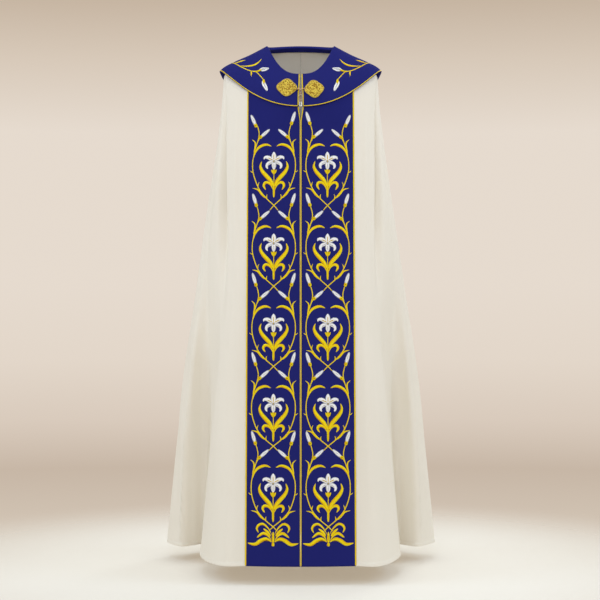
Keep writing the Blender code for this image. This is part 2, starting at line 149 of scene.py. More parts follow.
def unfolded(place, row):
    """Points of the form before its folds, x still positive, and their angles round the ring."""
    (width, front_y, side_y, back_y, front_z, side_z, back_z, power, front_drape,
     back_drape) = np.moveaxis(along(RINGS, row), -1, 0)
    reach, gap = band_limits(width, front_z)
    band_x = gap + (reach - gap) * place / BAND_PLACE
    band_turn = np.arcsin(np.clip(band_x / width, 0, 1) ** (power / 2))
    edge_turn = np.arcsin((reach / width) ** (power / 2))
    share = np.clip((place - BAND_PLACE) / (1 - BAND_PLACE), 0, 1)
    body_turn = edge_turn + (math.pi - edge_turn) * share
    on_band = place <= BAND_PLACE
    turn = np.where(on_band, band_turn, body_turn)
    body_x = width * np.maximum(np.sin(body_turn), 0) ** (2 / power)
    x = np.where(on_band, band_x, body_x)
    toward = np.cos(turn)
    front = toward > 0
    end_y = np.where(front, front_y, back_y)
    end_z = np.where(front, front_z, back_z)
    drape = np.where(front, front_drape, back_drape)
    y = side_y + (end_y - side_y) * np.abs(toward) ** (2 / power)
    z = side_z + (end_z - side_z) * (1 - np.abs(np.sin(turn)) ** drape)
    return np.stack((x, y, z), -1), turn


print("rings:", len(RINGS), "from the neck to the hem")

# %% [markdown]
# ## Deep folds, which the frame has too
# Down the skirt the cloth is wider than the body under it, so it stands in folds. Each is given by where
# its crest or its trough reaches the hem and by the height at which it begins. Left and right differ,
# because cloth never falls twice the same way.

# %% The folds at the hem
FOLD_GROWTH = 1.50        # how a fold deepens on its way down
FOLD_LEAN = 0.100         # how much nearer the front the folds stand above LEAN_HEIGHT than at the hem
LEAN_HEIGHT = -0.90
LEAN_RISE = 0.16          # the distance from the band over which this lean sets in
LEAN_FADE = 0.75          # and the distance from the centre back over which it dies out
KNEE_TOP = -0.66
KNEE_HEIGHT = -1.12       # the height of the knees, where the front lobe is at its fullest
CENTRE_BACK = (0.000, 0.276, -0.28, 0, 0)
FOLDS = {
    # distance from the centre line and y at the hem, the height where the fold begins, and how much
    # further out and back it stands at the knees
    LEFT: [
        (0.213, -0.298, -0.4, 0, -0.008),
        (0.265, -0.222, -0.4, 0.004, -0.03),
        (0.293, -0.095, -0.4, 0.004, -0.037),
        (0.278, 0.01, -0.42, -0.008, -0.01),
        (0.292, 0.09, -0.42, -0.014, 0.004),
        (0.322, 0.062, -0.44, -0.004, 0.002),
        (0.361, 0.041, -0.48, 0, 0),
        (0.409, 0.13, -0.5, 0, 0),
        (0.384, 0.206, -0.42, 0, 0),
        (0.33, 0.226, -0.34, 0, 0),
        (0.268, 0.316, -0.3, 0, 0),
        (0.186, 0.262, -0.28, 0, 0),
        (0.112, 0.346, -0.26, 0, 0),
    ],
    RIGHT: [
        (0.21, -0.304, -0.38, 0, -0.008),
        (0.256, -0.24, -0.38, 0.005, -0.022),
        (0.291, -0.105, -0.4, 0.004, -0.036),
        (0.278, 0.004, -0.42, -0.008, -0.008),
        (0.294, 0.08, -0.44, -0.014, 0.006),
        (0.32, 0.06, -0.46, -0.004, 0.002),
        (0.355, 0.039, -0.5, 0, 0),
        (0.41, 0.126, -0.5, 0, 0),
        (0.39, 0.2, -0.42, 0, 0),
        (0.34, 0.23, -0.36, 0, 0),
        (0.282, 0.312, -0.28, 0, 0),
        (0.2, 0.258, -0.3, 0, 0),
        (0.118, 0.342, -0.24, 0, 0),
    ],
}


def hem_line(side):
    """Places of the folds along the hem, and the folds with one more beyond each end."""
    edge = unfolded(np.array(BAND_PLACE), np.array(float(HEM_ROW)))[0]
    rows = np.array([(edge[0], edge[1], FOLDS[side][0][2], 0, 0)] + FOLDS[side] + [CENTRE_BACK])
    steps = np.hypot(*np.diff(rows[:, :2], axis=0).T)
    lengths = np.concatenate(([0.0], np.cumsum(steps)))
    before = (2 * rows[0, 0] - rows[1, 0], rows[0, 1], rows[0, 2], 0, 0)
    after = (-rows[-2, 0], rows[-2, 1], rows[-1, 2], 0, 0)
    return BAND_PLACE + (1 - BAND_PLACE) * lengths / lengths[-1], np.vstack((before, rows, after))


HEM_LINES = {side: hem_line(side) for side, end in SIDES}


def hem_place(place, height):
    """The place at the hem to which the fold through this place and height runs."""
    lean = FOLD_LEAN * np.clip((height - HEM_HEIGHT) / (LEAN_HEIGHT - HEM_HEIGHT), 0, 1)
    return place + lean * ease((place - BAND_PLACE) / LEAN_RISE) * ease((1 - place) / LEAN_FADE)


def form(side, place, row):
    """Points of the body cloth's outer face with its deep folds, x still positive, and angles."""
    place, row = np.broadcast_arrays(np.asarray(place, float), np.asarray(row, float))
    point, turn = unfolded(place, row)
    height = point[..., 2]
    places, rows = HEM_LINES[side]
    foot = hem_place(place, height)
    index = np.clip(np.searchsorted(places, foot, side="left") - 1, 0, len(places) - 2)
    position = 1 + index + (foot - places[index]) / (places[index + 1] - places[index])
    fold = along(rows, np.maximum(position, 1.0))
    base = unfolded(foot, np.full_like(foot, HEM_ROW))[0]
    share = np.clip((fold[..., 2] - height) / (fold[..., 2] - HEM_HEIGHT), 0, 1) ** FOLD_GROWTH
    knee = ease((KNEE_TOP - height) / (KNEE_TOP - KNEE_HEIGHT))
    knee = knee * ease((height - HEM_HEIGHT) / (KNEE_HEIGHT - HEM_HEIGHT))
    shift = (fold[..., :2] - base[..., :2]) * share[..., None] + fold[..., 3:] * knee[..., None]
    point[..., :2] += np.where(place[..., None] <= BAND_PLACE, 0.0, shift)
    return point, turn


def outward(side, place, row):
    """Directions out of the cloth, x still positive."""
    step = 0.002
    ahead = form(side, np.minimum(place + step, 1.0), row)[0]
    behind = form(side, np.maximum(place - step, 0.0), row)[0]
    below = form(side, place, np.minimum(row + step, HEM_ROW))[0]
    above = form(side, place, np.maximum(row - step, 0.0))[0]
    normal = np.cross(below - above, ahead - behind)
    normal[..., 0] = np.where(np.asarray(place) >= 1.0, 0.0, normal[..., 0])
    return normal / np.linalg.norm(normal, axis=-1, keepdims=True)


print("folds at the hem:", {end: len(FOLDS[side]) for side, end in SIDES})

# %% [markdown]
# ## Creases placed one by one
# Between the deep folds, real cloth has softer lines: long troughs that start where it hangs from the
# shoulder and fade out lower down. Each one here has its own path, length, depth and widths, because a
# repeated crease looks like corrugated board at once. Every crease has a steeper flank and a softer one.
# They are added along the direction out of the cloth. A positive depth is a trough, a negative a ridge.

# %% The creases
# start and end place, bend, top and foot height, share of its length where it is deepest, depth, and
# the widths of its nearer and its farther flank
Crease = namedtuple("Crease", "start end bend top foot deepest depth near far")
CREASES = {
    LEFT: [
        (0.405, 0.247, -0.05, -0.06, -0.9, 0.4, 0.035, 0.0155, 0.019),
        (0.228, 0.176, -0.004, -0.15, -0.82, 0.4, -0.004, 0.014, 0.016),
        (0.36, 0.456, 0, -0.56, -1.44, 0.55, 0.015, 0.024, 0.03),
        (0.19, 0.205, 0.01, -0.7, -1.43, 0.6, 0.0024, 0.03, 0.02),
        (0.352, 0.392, 0.01, -0.24, -0.83, 0.45, 0.0042, 0.016, 0.026),
        (0.452, 0.47, -0.012, -0.18, -0.9, 0.55, 0.0122, 0.0216, 0.016),
        (0.54, 0.59, 0.01, -0.21, -1.1, 0.5, 0.0105, 0.0162, 0.027),
        (0.5, 0.52, 0.006, -0.62, -1.38, 0.55, -0.0058, 0.027, 0.02),
        (0.65, 0.64, -0.01, -0.2, -0.76, 0.4, 0.0188, 0.0234, 0.014),
        (0.742, 0.77, 0.006, -0.215, -0.98, 0.5, 0.0146, 0.018, 0.029),
        (0.7, 0.715, 0, -0.7, -1.4, 0.5, 0.011, 0.0162, 0.023),
        (0.852, 0.87, -0.008, -0.205, -0.7, 0.45, 0.0167, 0.0144, 0.022),
        (0.93, 0.925, 0.004, -0.23, -1.16, 0.5, -0.0051, 0.0216, 0.018),
    ],
    RIGHT: [
        (0.4, 0.25, -0.044, -0.055, -0.86, 0.4, 0.034, 0.015, 0.018),
        (0.226, 0.178, -0.004, -0.145, -0.78, 0.42, -0.0038, 0.014, 0.016),
        (0.356, 0.45, 0.004, -0.58, -1.44, 0.55, 0.014, 0.025, 0.029),
        (0.186, 0.2, 0.006, -0.76, -1.4, 0.6, 0.002, 0.026, 0.022),
        (0.362, 0.384, 0.006, -0.26, -0.74, 0.45, 0.0048, 0.014, 0.03),
        (0.44, 0.478, 0.01, -0.19, -1.0, 0.5, 0.0105, 0.0198, 0.022),
        (0.556, 0.575, -0.01, -0.2, -0.88, 0.45, 0.0126, 0.0234, 0.016),
        (0.512, 0.53, 0, -0.7, -1.42, 0.5, -0.0051, 0.0234, 0.023),
        (0.64, 0.668, 0.008, -0.205, -1.06, 0.55, 0.0158, 0.0153, 0.027),
        (0.735, 0.742, -0.006, -0.21, -0.66, 0.4, 0.0183, 0.0216, 0.018),
        (0.716, 0.73, 0.004, -0.64, -1.36, 0.5, 0.0103, 0.0234, 0.016),
        (0.846, 0.88, 0.006, -0.215, -0.94, 0.5, 0.0141, 0.0198, 0.027),
        (0.944, 0.93, -0.004, -0.225, -0.82, 0.45, 0.0133, 0.0144, 0.018),
    ],
}
GIRTH_AT_NECK = 0.34      # length of half a ring at the neck and at the hem
GIRTH_AT_HEM = 1.28
RIPPLE = 0.0006           # the height of the slight unevenness all over the cloth
CALM = 0.03               # the share of a half ring over which it dies out before an edge
SEAM_PLACE = 0.985        # the cloth lies flat from here to the centre-back seam


def swell(side, place, row, height):
    """How far the soft creases move the cloth outwards, in metres."""
    girth = GIRTH_AT_NECK + (GIRTH_AT_HEM - GIRTH_AT_NECK) * row / HEM_ROW
    total = RIPPLE * np.sin(9.0 * place + 4.1 * height) * np.sin(7.3 * height + side)
    for crease in map(Crease._make, CREASES[side]):
        share = np.clip((crease.top - height) / (crease.top - crease.foot), 0, 1)
        path = crease.start + (crease.end - crease.start) * share
        path = path + crease.bend * np.sin(math.pi * share)
        strength = np.sin(math.pi * share ** (math.log(0.5) / math.log(crease.deepest))) ** 2
        away = (place - path) * girth
        width = np.where(away < 0, crease.near, crease.far)
        total = total - crease.depth * strength * np.exp(-(away / width) ** 2)
    return total * ease((place - BAND_PLACE) / CALM) * ease((SEAM_PLACE - place) / CALM)


def on_cloth(side, place, row, height):
    """Points at a height over the body cloth, on their own side of the garment."""
    point, turn = form(side, place, row)
    point = point + outward(side, place, row) * np.asarray(height)[..., None]
    point[..., 0] *= side
    return point


def out_of_cloth(side, place, row):
    """Directions out of the cloth, on their own side of the garment."""
    return outward(side, place, row) * (side, 1, 1)


print("creases:", {end: len(CREASES[side]) for side, end in SIDES})

# %% [markdown]
# ## Whole meshes at once
# A mesh can be read and written vertex by vertex, or all at once as an array, which is far quicker. Four
# small helpers do that, turn a bmesh into a mesh, and put a new object in the scene.

# %% Meshes, arrays and objects
def mesh_of(name, shell):
    """Turns a bmesh into a mesh."""
    mesh = bpy.data.meshes.new(name)
    shell.to_mesh(mesh)
    shell.free()
    return mesh


def read(items, key, width=3, kind=np.float32):
    """A value of every vertex, face or corner of a mesh, as an array."""
    values = np.empty(len(items) * width, kind)
    items.foreach_get(key, values)
    return values.reshape(-1, width)


def write(items, key, values):
    """Gives every vertex or corner its value out of an array."""
    items.foreach_set(key, values.astype(np.float32).ravel())


def in_scene(name, data):
    """A new object at the origin."""
    item = bpy.data.objects.new(name, data)
    bpy.context.collection.objects.link(item)
    return item


# %% [markdown]
# ## From a flat grid to a hanging sheet
# Every panel starts as a flat grid, like cloth on the cutting table. Its vertices are then moved onto
# the form, and its flat layout is kept in metres as a UV map, so that the weave has its true size.
# The wall is added by Solidify, inwards from the outer face.

# %% Sheets of cloth
def cloth_sheet(name, shape, thickness, towards):
    """A sheet on a grid of points, shape[row, column]; its front faces the way towards says."""
    rows, columns = shape.shape[0] - 1, shape.shape[1] - 1
    flat = bmesh.new()
    bmesh.ops.create_grid(flat, x_segments=columns, y_segments=rows, size=0.5)
    mesh = mesh_of(name, flat)
    spots = read(mesh.vertices, "co")
    across = np.round((spots[:, 0] + 0.5) * columns).astype(int)
    down = np.round((0.5 - spots[:, 1]) * rows).astype(int)
    write(mesh.vertices, "co", shape[down, across])
    steps_across = np.linalg.norm(np.diff(shape, axis=1), axis=2)
    steps_down = np.linalg.norm(np.diff(shape, axis=0), axis=2)
    flat_x = np.pad(np.cumsum(steps_across, axis=1), ((0, 0), (1, 0)))
    flat_y = np.pad(np.cumsum(steps_down, axis=0), ((1, 0), (0, 0)))
    corners = read(mesh.loops, "vertex_index", 1, np.int32)[:, 0]
    layout = np.stack((flat_x[down, across], flat_y[down, across]), -1)[corners]
    write(mesh.uv_layers.new(name="cloth").data, "uv", layout)
    mesh.update()
    if (read(mesh.polygons, "normal") * towards(read(mesh.polygons, "center"))).sum() < 0:
        mesh.flip_normals()
    mesh.shade_smooth()
    sheet = in_scene(name, mesh)
    wall = sheet.modifiers.new("wall", "SOLIDIFY")
    wall.thickness = thickness
    wall.offset = -1
    area = sum(face.area for face in mesh.polygons)
    print("%s: %d quads, area %.3f m2, widest %.3f m, longest %.3f m"
          % (name, len(mesh.polygons), area, flat_x[:, -1].max(), flat_y[-1].max()))
    return sheet


def from_the_axis(points):
    """Directions away from the upright middle of the garment."""
    return points * (1, 1, 0)


# %% [markdown]
# ## The two halves of the body
# Each half hangs from a front edge round to the centre-back seam. The hem is turned up and stitched, so
# the last few millimetres are a little thicker, with the groove of the stitch line above them. The rows
# stand closer there, because a groove needs a few rows to be seen.

# %% The body cloth
BODY_CLOTH = 0.0020
SEAM_GAP = 0.00015        # half of the gap at the centre-back seam
BODY_COLUMNS = 200
BODY_ROWS = 168
HEM_TURN = 0.0090         # height of the turned hem
HEM_WALL = 0.0006         # how much thicker it is
STITCH_DEPTH = 0.0005
STITCH_WIDTH = 0.0011
CLOSE_ROWS = 0.09         # the last part of the rings, which gets the last 8 % of the grid's rows
bodies = {}
for side, end in SIDES:
    place = np.linspace(0, 1, BODY_COLUMNS + 1)[None, :]
    row = np.interp(np.linspace(0, 1, BODY_ROWS + 1), (0, 0.92, 1), (0, HEM_ROW - CLOSE_ROWS, HEM_ROW))
    place, row = np.broadcast_arrays(place, row[:, None])
    height = form(side, place, row)[0][..., 2]
    above_turn = height - HEM_HEIGHT - HEM_TURN
    turned = HEM_WALL * (1 - ease((above_turn + 0.001) / 0.0015))
    stitched = STITCH_DEPTH * np.exp(-(above_turn / STITCH_WIDTH) ** 2)
    relief = swell(side, place, row, height) + np.where(place > BAND_PLACE, turned - stitched, 0)
    shape = on_cloth(side, place, row, relief)
    shape[..., 0] = side * np.maximum(np.abs(shape[..., 0]), SEAM_GAP)
    bodies[side] = cloth_sheet("body_cloth_" + end, shape, BODY_CLOTH, from_the_axis)

# %% [markdown]
# ## The blue bands
# A band, or orphrey, is a strip of blue cloth sewn flat on each front. It is a sheet of its own, a hair's
# breadth over the body, and it is wide enough to carry the embroidery between its two braids.

# %% The bands
CLEARANCE = 0.0003
BAND_CLOTH = 0.0012
BAND_FACE = CLEARANCE + BAND_CLOTH
BAND_COLUMNS = 28
BAND_ROWS = 180
place, row = np.meshgrid(np.linspace(0, BAND_PLACE, BAND_COLUMNS + 1), np.linspace(0, HEM_ROW, BAND_ROWS + 1))
bands = {}
for side, end in SIDES:
    shape = on_cloth(side, place, row, np.full(place.shape, BAND_FACE))
    bands[side] = cloth_sheet("band_cloth_" + end, shape, BAND_CLOTH, from_the_axis)

# %% [markdown]
# ## The cape collar
# The collar is one piece from front edge to front edge, round the back. It lies close at the neck and
# stands off towards its lower edge, most of all at the points of the shoulders, where stiff lined cloth
# bridges from the shoulder into the air. Its height over the body is worked out from its angle.

# %% The collar
COLLAR_CLOTH = 0.0020
COLLAR_LIFT = 0.0042
COLLAR_FLARE = 0.0125
COLLAR_BACK_FLARE = 0.0030
COLLAR_COLUMNS = 140
COLLAR_ROWS = 44
TIP_PLACE = 0.530         # where the edge dips behind the point of the shoulder, how wide and how deep
TIP_SPREAD = 0.060
TIP_DIP = 0.009
ROLL_HEIGHT = 0.0022      # how far the folded neck edge stands over the neck of the body
ROLL_STEPS = 8
FACING_ROWS = np.linspace(0.40, 0.04, 9)  # the collar's cloth goes this far down inside the neck


def collar_height(side, place, row):
    """How far the collar's inner face stands off the body cloth."""
    turn = form(side, place, row)[1]
    flare = COLLAR_FLARE * np.sin(turn) ** 6
    flare = np.where(turn > math.pi / 2, np.maximum(flare, COLLAR_BACK_FLARE), flare)
    return COLLAR_LIFT + flare * (np.asarray(row) / COLLAR_ROW) ** 2.5


def on_collar(side, place, row, lift):
    """Points over the outer face of the collar."""
    return on_cloth(side, place, row, collar_height(side, place, row) + COLLAR_CLOTH + lift)


def collar_shape(side, place, row):
    """The collar's outer face, with the dip of its edge behind each point of the shoulder."""
    shape = on_collar(side, place, row, np.zeros(row.shape))
    behind = np.exp(-((place - TIP_PLACE) / TIP_SPREAD) ** 2) * (row / COLLAR_ROW) ** 3
    shape[..., 2] -= TIP_DIP * behind
    return shape


place, row = np.meshgrid(np.linspace(0, 1, COLLAR_COLUMNS + 1),
                         np.linspace(0, COLLAR_ROW, COLLAR_ROWS + 1))
neck, top = place[0], row[0]
flat = np.zeros(COLLAR_COLUMNS + 1)
outside = COLLAR_LIFT + COLLAR_CLOTH
inside = -(BODY_CLOTH + CLEARANCE + COLLAR_CLOTH)
half_wall = (outside - inside) / 2
halves = []
for side, end in SIDES:
    outer = collar_shape(side, place, row)
    neck_out = out_of_cloth(side, neck, top)
    up = on_cloth(side, neck, top, flat) - on_cloth(side, neck, top + 0.05, flat)
    up /= np.linalg.norm(up, axis=1, keepdims=True)
    middle = outer[0] - neck_out * half_wall
    facing = [on_cloth(side, neck, top + depth, flat + inside) for depth in FACING_ROWS]
    roll = [middle - neck_out * math.cos(turn) * half_wall + up * math.sin(turn) * ROLL_HEIGHT
            for turn in np.linspace(0, math.pi, ROLL_STEPS + 1)[:-1]]
    halves.append(np.concatenate((facing, roll, outer)))
shape = np.concatenate((halves[0], halves[1][:, -2::-1]), axis=1)
collar = cloth_sheet("collar_cloth", shape, COLLAR_CLOTH, lambda points: points * (1, 1, 0) + (0, 0, 0.05))

# %% [markdown]
# ## One tool for everything long and narrow
# Satin stitch, braid, cord and wire are all the same shape: a line with a width, a height and a soft
# round back. A strand is a grid of its own, and its short side is wrapped round the line. The seam and
# the pointed ends are closed by merging the vertices that meet there. Three numbers are kept at every
# vertex for the thread material: how far along the strand it lies, how far across, and its tone.

# %% Strands
class Needlework:
    """Many strands gathered in one mesh."""

    def __init__(self, name, sides=8):
        self.name = name
        self.sides = sides
        self.shell = bmesh.new()
        self.rows = []
        self.count = 0

    def strand(self, line, out, width, height, under=0.25, tone=0.0):
        """Adds a strand on a line of points, with its directions out of the ground and its sizes."""
        line = np.asarray(line, float)
        count = len(line)
        out = np.broadcast_to(out, line.shape)
        ahead = np.gradient(line, axis=0)
        if np.allclose(line[0], line[-1]):
            ahead[0] = ahead[-1] = line[1] - line[-2]
        across = np.cross(out, ahead)
        across /= np.linalg.norm(across, axis=1, keepdims=True)
        length = np.concatenate(([0.0], np.cumsum(np.linalg.norm(np.diff(line, axis=0), axis=1))))
        width = np.broadcast_to(width, count)
        height = np.broadcast_to(height, count)
        steps = (np.full(count, under), np.full(count, tone), length)
        self.rows.append(np.column_stack((line, out, across, width / 2, height) + steps))
        bmesh.ops.create_grid(self.shell, x_segments=count - 1, y_segments=self.sides, size=0.5,
                              matrix=Matrix.Translation((0, 0, self.count)))
        self.count += 1

    def finish(self, merge=2e-6):
        """Wraps every grid round its line, closes it and makes the object."""
        mesh = mesh_of(self.name, self.shell)
        spots = read(mesh.vertices, "co")
        strand = np.round(spots[:, 2]).astype(int)
        counts = np.array([len(rows) for rows in self.rows])
        firsts = np.concatenate(([0], np.cumsum(counts)[:-1]))
        step = np.round((spots[:, 0] + 0.5) * (counts[strand] - 1)).astype(int)
        data = np.concatenate(self.rows)[firsts[strand] + step]
        turn = 2 * math.pi * np.round((spots[:, 1] + 0.5) * self.sides) / self.sides
        side = np.cos(turn)[:, None]
        rise = np.sin(turn)
        rise = np.where(rise < 0, rise * data[:, 11], rise)[:, None]
        points = data[:, :3] + data[:, 6:9] * side * data[:, 9:10] + data[:, 3:6] * rise * data[:, 10:11]
        write(mesh.vertices, "co", points)
        thread = mesh.attributes.new("thread", "FLOAT_VECTOR", "POINT")
        write(thread.data, "vector", np.column_stack((data[:, 13], side[:, 0], data[:, 12])))
        closed = bmesh.new()
        closed.from_mesh(mesh)
        bmesh.ops.remove_doubles(closed, verts=closed.verts, dist=merge)
        bmesh.ops.recalc_face_normals(closed, faces=closed.faces)
        closed.to_mesh(mesh)
        closed.free()
        mesh.shade_smooth()
        print("%s: %d strands, %d faces" % (self.name, self.count, len(mesh.polygons)))
        return in_scene(self.name, mesh)


def one_strand(name, line, out, width, height, under=0.25, sides=8):
    """A piece that is a single strand."""
    work = Needlework(name, sides)
    work.strand(line, out, width, height, under)
    return work.finish()


def closed_ends(count):
    """1 all along a strand, and 0 at its two ends, where it closes."""
    share = np.ones(count)
    share[[0, -1]] = 0.0
    return share


# %% [markdown]
# ## Braids down the bands
# A narrow gold braid covers each raw edge of a band. It is woven flat with a slight crown, so it is a
# strand with a wide and low section. The ribs of its weave come from the thread material. The front
# braids grow narrower below the collar, where the two fronts meet.

# %% The braids
FRONT_BRAID_WIDTH = 0.0030
SIDE_BRAID_WIDTH = 0.0042
BRAID_RISE = 0.0012
BRAID_STEPS = 330
COLLAR_BRAID_STEPS = 80
BRAID_END = 0.002         # how far above the hem the braids end, in rows
EDGE_INSET = 0.1          # from the collar's edge to the ends of the braids under it and on it, in rows
braids = {}


def braid(name, ground, side, place, rows, width):
    """A braid on a ground, at a place that may change from row to row."""
    line = ground(side, place, rows, np.zeros(len(rows)))
    share = closed_ends(len(rows))
    return one_strand(name, line, out_of_cloth(side, place, rows), width * share, BRAID_RISE * share)


def on_band(side, place, row, lift):
    """Points over the outer face of a band."""
    return on_cloth(side, place, row, BAND_FACE + np.asarray(lift))


half_braid = BAND_PLACE * FRONT_BRAID_WIDTH / BAND_REACH / 2
for side, end in SIDES:
    rows = np.linspace(COLLAR_ROW - EDGE_INSET, HEM_ROW - BRAID_END, BRAID_STEPS)
    share = np.interp(rows, (COLLAR_ROW, COLLAR_ROW + 1.2, HEM_ROW), (1.0, 0.74, 0.64))
    braids["front_braid_" + end] = braid("front_gold_" + end, on_band, side, half_braid * share, rows,
                                         FRONT_BRAID_WIDTH * share)
    rows = np.linspace(COLLAR_ROW - 1, HEM_ROW - BRAID_END, BRAID_STEPS)
    place = np.full(BRAID_STEPS, BAND_PLACE - 0.4 * half_braid)
    braids["side_braid_" + end] = braid("side_gold_" + end, on_band, side, place, rows, SIDE_BRAID_WIDTH)
    rows = np.linspace(0.02, COLLAR_ROW - EDGE_INSET, COLLAR_BRAID_STEPS)
    reach = np.interp(rows, (0, 1, 2, 3), BAND_REACH / np.minimum(BAND_REACH, BAND_SHARE * RINGS[:4, 0]))
    braids["collar_braid_" + end] = braid("collar_gold_" + end, on_collar, side, half_braid * reach,
                                          rows, FRONT_BRAID_WIDTH)

# %% [markdown]
# ## The corded edge of the collar
# A round twisted cord is sewn along the lower edge of the collar. The same strand serves, with a round
# section, and it follows the edge from one front round the back to the other.

# %% The cord of the collar
PIPING_WIDTH = 0.0025
PIPING_RISE = 0.0013
CORD_STEPS = 260
CORD_ROW = COLLAR_ROW - 0.045
places = np.linspace(0, 1, CORD_STEPS)
rows = np.full(CORD_STEPS, CORD_ROW)


def all_round(points_of):
    """One line of values from the left front edge round the back to the right one."""
    left, right = [points_of(side, places, rows) for side, end in SIDES]
    return np.concatenate((left, right[-2::-1]))


line = all_round(collar_shape)
collar_cord = one_strand("collar_cord", line, all_round(out_of_cloth), PIPING_WIDTH * closed_ends(len(line)),
                         PIPING_RISE, under=0.8, sides=10)

# %% [markdown]
# ## Drawing for the needle
# An embroiderer draws the line of every leaf and petal, and says how wide it is and where it is widest.
# So does this table. A stroke has a line in millimetres from the middle of its lily, a width, the share
# of its length where it is widest, and a fullness: near 0 it is an even stem, near 1 a pointed leaf.
# Its lift puts it over the strokes below it, and its tone goes from bright thread to dark thread; in the
# marks between and over the petals of the lily, the dark tone is painted shade.

# %% Strokes
Stroke = namedtuple("Stroke", "thread line width belly fullness lift tone rise", defaults=(1.0,))


def stem(line, width=3.4, tone=0.0):
    """An even gold stem."""
    return Stroke("gold", line, width, 0.5, 0.16, 0.0, tone)


def leaf(line, width, belly=0.5, lift=0.15, tone=0.0, fullness=1.0):
    """A pointed gold leaf."""
    return Stroke("gold", line, width, belly, fullness, lift, tone)


def mark(thread, line, width, fullness, lift, tone):
    """A fine stroke over a petal or a leaf: a stripe, a vein or a shadow."""
    return Stroke(thread, line, width, 0.5, fullness, lift, tone)


def petal(line, width, belly=0.5, fullness=0.75, lift=0.0):
    """A white petal over a grey one that shows round it as an outline."""
    return [Stroke("white", line, width + 1.8, belly, 0.9 * fullness, lift, 0.75, 0.4),
            Stroke("white", line, width, belly, fullness, lift + 0.45, 0.0, 0.7)]


def bud(base, tip, width):
    """A closed bud: two white petals side by side over a grey ground, on a round gold knob."""
    base, tip = np.array(base, float), np.array(tip, float)
    axis = tip - base
    side = np.array((-axis[1], axis[0])) * width / np.hypot(*axis)
    middle = base + 0.52 * axis
    strokes = [Stroke("white", [base + 0.06 * axis, middle, tip], width, 0.44, 0.65, 0.0, 0.6, 0.3)]
    for turn in (1, -1):
        line = [base + 0.12 * axis, middle + 0.20 * turn * side, base + 0.95 * axis]
        strokes.append(Stroke("white", line, 0.36 * width, 0.44, 0.7, 0.35, 0.04))
    knob = [base - 0.10 * axis, base + 0.05 * axis, base + 0.20 * axis]
    strokes.append(leaf(knob, 0.84 * width, 0.5, 0.9, 0.05, 0.5))
    heart = [base, base + 0.05 * axis, base + 0.10 * axis]
    strokes.append(mark("gold", heart, 0.3 * width, 0.5, 2.0, 0.8))
    return strokes


# %% [markdown]
# ## The lily
# An open lily stands in the middle of each repeat: six petals with curled tips, the lowest one seen as a
# throat, over a gold cup. Only one half is drawn, and the other is its mirror image. What lies on the
# middle line is drawn once.

# %% The lily and its leaves
LILY_HALF = [
    *petal([(0, 0), (8, -2.5), (15, -5), (20, -10), (20.5, -16.5), (17, -21.5)], 10.5, 0.34, 0.7),
    *petal([(0, 1), (8, 6.5), (14, 10.5), (20.5, 12.5), (27, 11), (28, 5.5)], 11.0, 0.36, 0.85, 0.3),
    mark("white", [(4, -3), (11, -4.5), (17, -9)], 1.8, 0.5, 1.3, 0.7),
    mark("gold", [(3, 3.5), (10, 7.5), (17, 10.5)], 2.8, 0.6, 1.6, 0.5),
    # grey strokes in the gaps between the petals: painted shade between them
    mark("white", [(3, 0.5), (9, 1.2), (15, 3.6)], 1.6, 0.6, 1.0, 0.9),
    mark("white", [(4, 6), (7, 11), (7, 17)], 1.6, 0.6, 1.0, 0.9),
    mark("white", [(4, -5), (6.5, -9), (7, -15)], 1.6, 0.6, 1.0, 0.9),
    leaf([(2, -73), (9, -57), (21, -43), (33, -29), (39, -14), (35, 1)], 12.5, 0.40),
    leaf([(1, -88), (7, -71), (16, -62), (25, -62), (29, -71), (23, -83)], 9.0, 0.58),
    leaf([(0.5, -37), (4, -31), (7.5, -24)], 5.5, 0.5, 0.8, 0.05),
]
LILY_MIDDLE = [
    *petal([(0, 4), (0, -9), (0, -24)], 13.5, 0.46, 0.8, 0.1),
    *petal([(0, -3), (0, 11), (0, 28)], 14.5, 0.52, 1.25, 0.6),
    mark("gold", [(0, 4), (0, 12), (0, 20)], 3.0, 0.5, 1.9, 0.5),
    mark("white", [(0, -6), (0, -12), (0, -20)], 1.8, 0.5, 1.6, 0.7),
    # a grey patch over the middle of the flower: painted shade where the petals meet
    mark("white", [(0, -5), (0, -1), (0, 4)], 7.5, 0.6, 1.4, 0.75),
    mark("gold", [(0, -2.5), (0, 0), (0, 3)], 3.5, 0.5, 2.0, 0.6),
    leaf([(0, -23), (0, -30), (0, -39)], 9.0, 0.36, 0.6, 0.2, 0.6),
    stem([(0, -34), (0, -55), (0, -82)], 2.6),
    leaf([(0, -62), (0, -84), (0, -105)], 7.0, 0.52, 0.3, 0.1, 0.5),
]

# %% [markdown]
# ## The vine round the lily
# Two stems cross under the lily, sweep round it and end above it in leaf-like tips. Buds, sprouts and
# thorns grow from them. The thorns look like nothing by themselves, but without them the stems read as
# wire.

# %% The vine
VINE_HALF = [
    stem([(-12, -142), (0, -128), (22, -107), (41, -83), (53, -56), (61, -26), (61, 3), (56, 24)], 3.4),
    leaf([(58, 12), (54, 27), (45, 40), (33, 47), (20, 49), (7, 44)], 8.5, 0.55, 0.2, 0.0),
    stem([(60, 8), (56, 30), (50, 50), (45, 66), (43, 82), (46, 98), (51, 112)], 3.2),
    stem([(50, 50), (46, 60), (40, 70)], 2.8),
    leaf([(58, 26), (54, 44), (55, 57), (64, 65)], 5.0, 0.40),
    leaf([(59, -31), (64, -30), (69, -26)], 3.2, 0.35),
    leaf([(46, -74), (45, -66), (42, -59)], 3.2, 0.35),
    leaf([(20, -110), (21, -102), (19, -95)], 3.4, 0.35),
    leaf([(24, -106), (35, -95), (46, -82), (62, -77)], 6.5, 0.36),
    *bud((40, 70), (12, 94), 11.5),
]
TOP_BUD = bud((50, 109), (61, 145), 12.0)
# in the first repeat the outer bud stands lower and leans out, to clear the collar
TOP_BUD_OUTER = bud((52, 104), (67, 138), 12.0)
print("strokes: %d for a lily, %d for a vine" % (2 * len(LILY_HALF) + len(LILY_MIDDLE), 2 * len(VINE_HALF)))

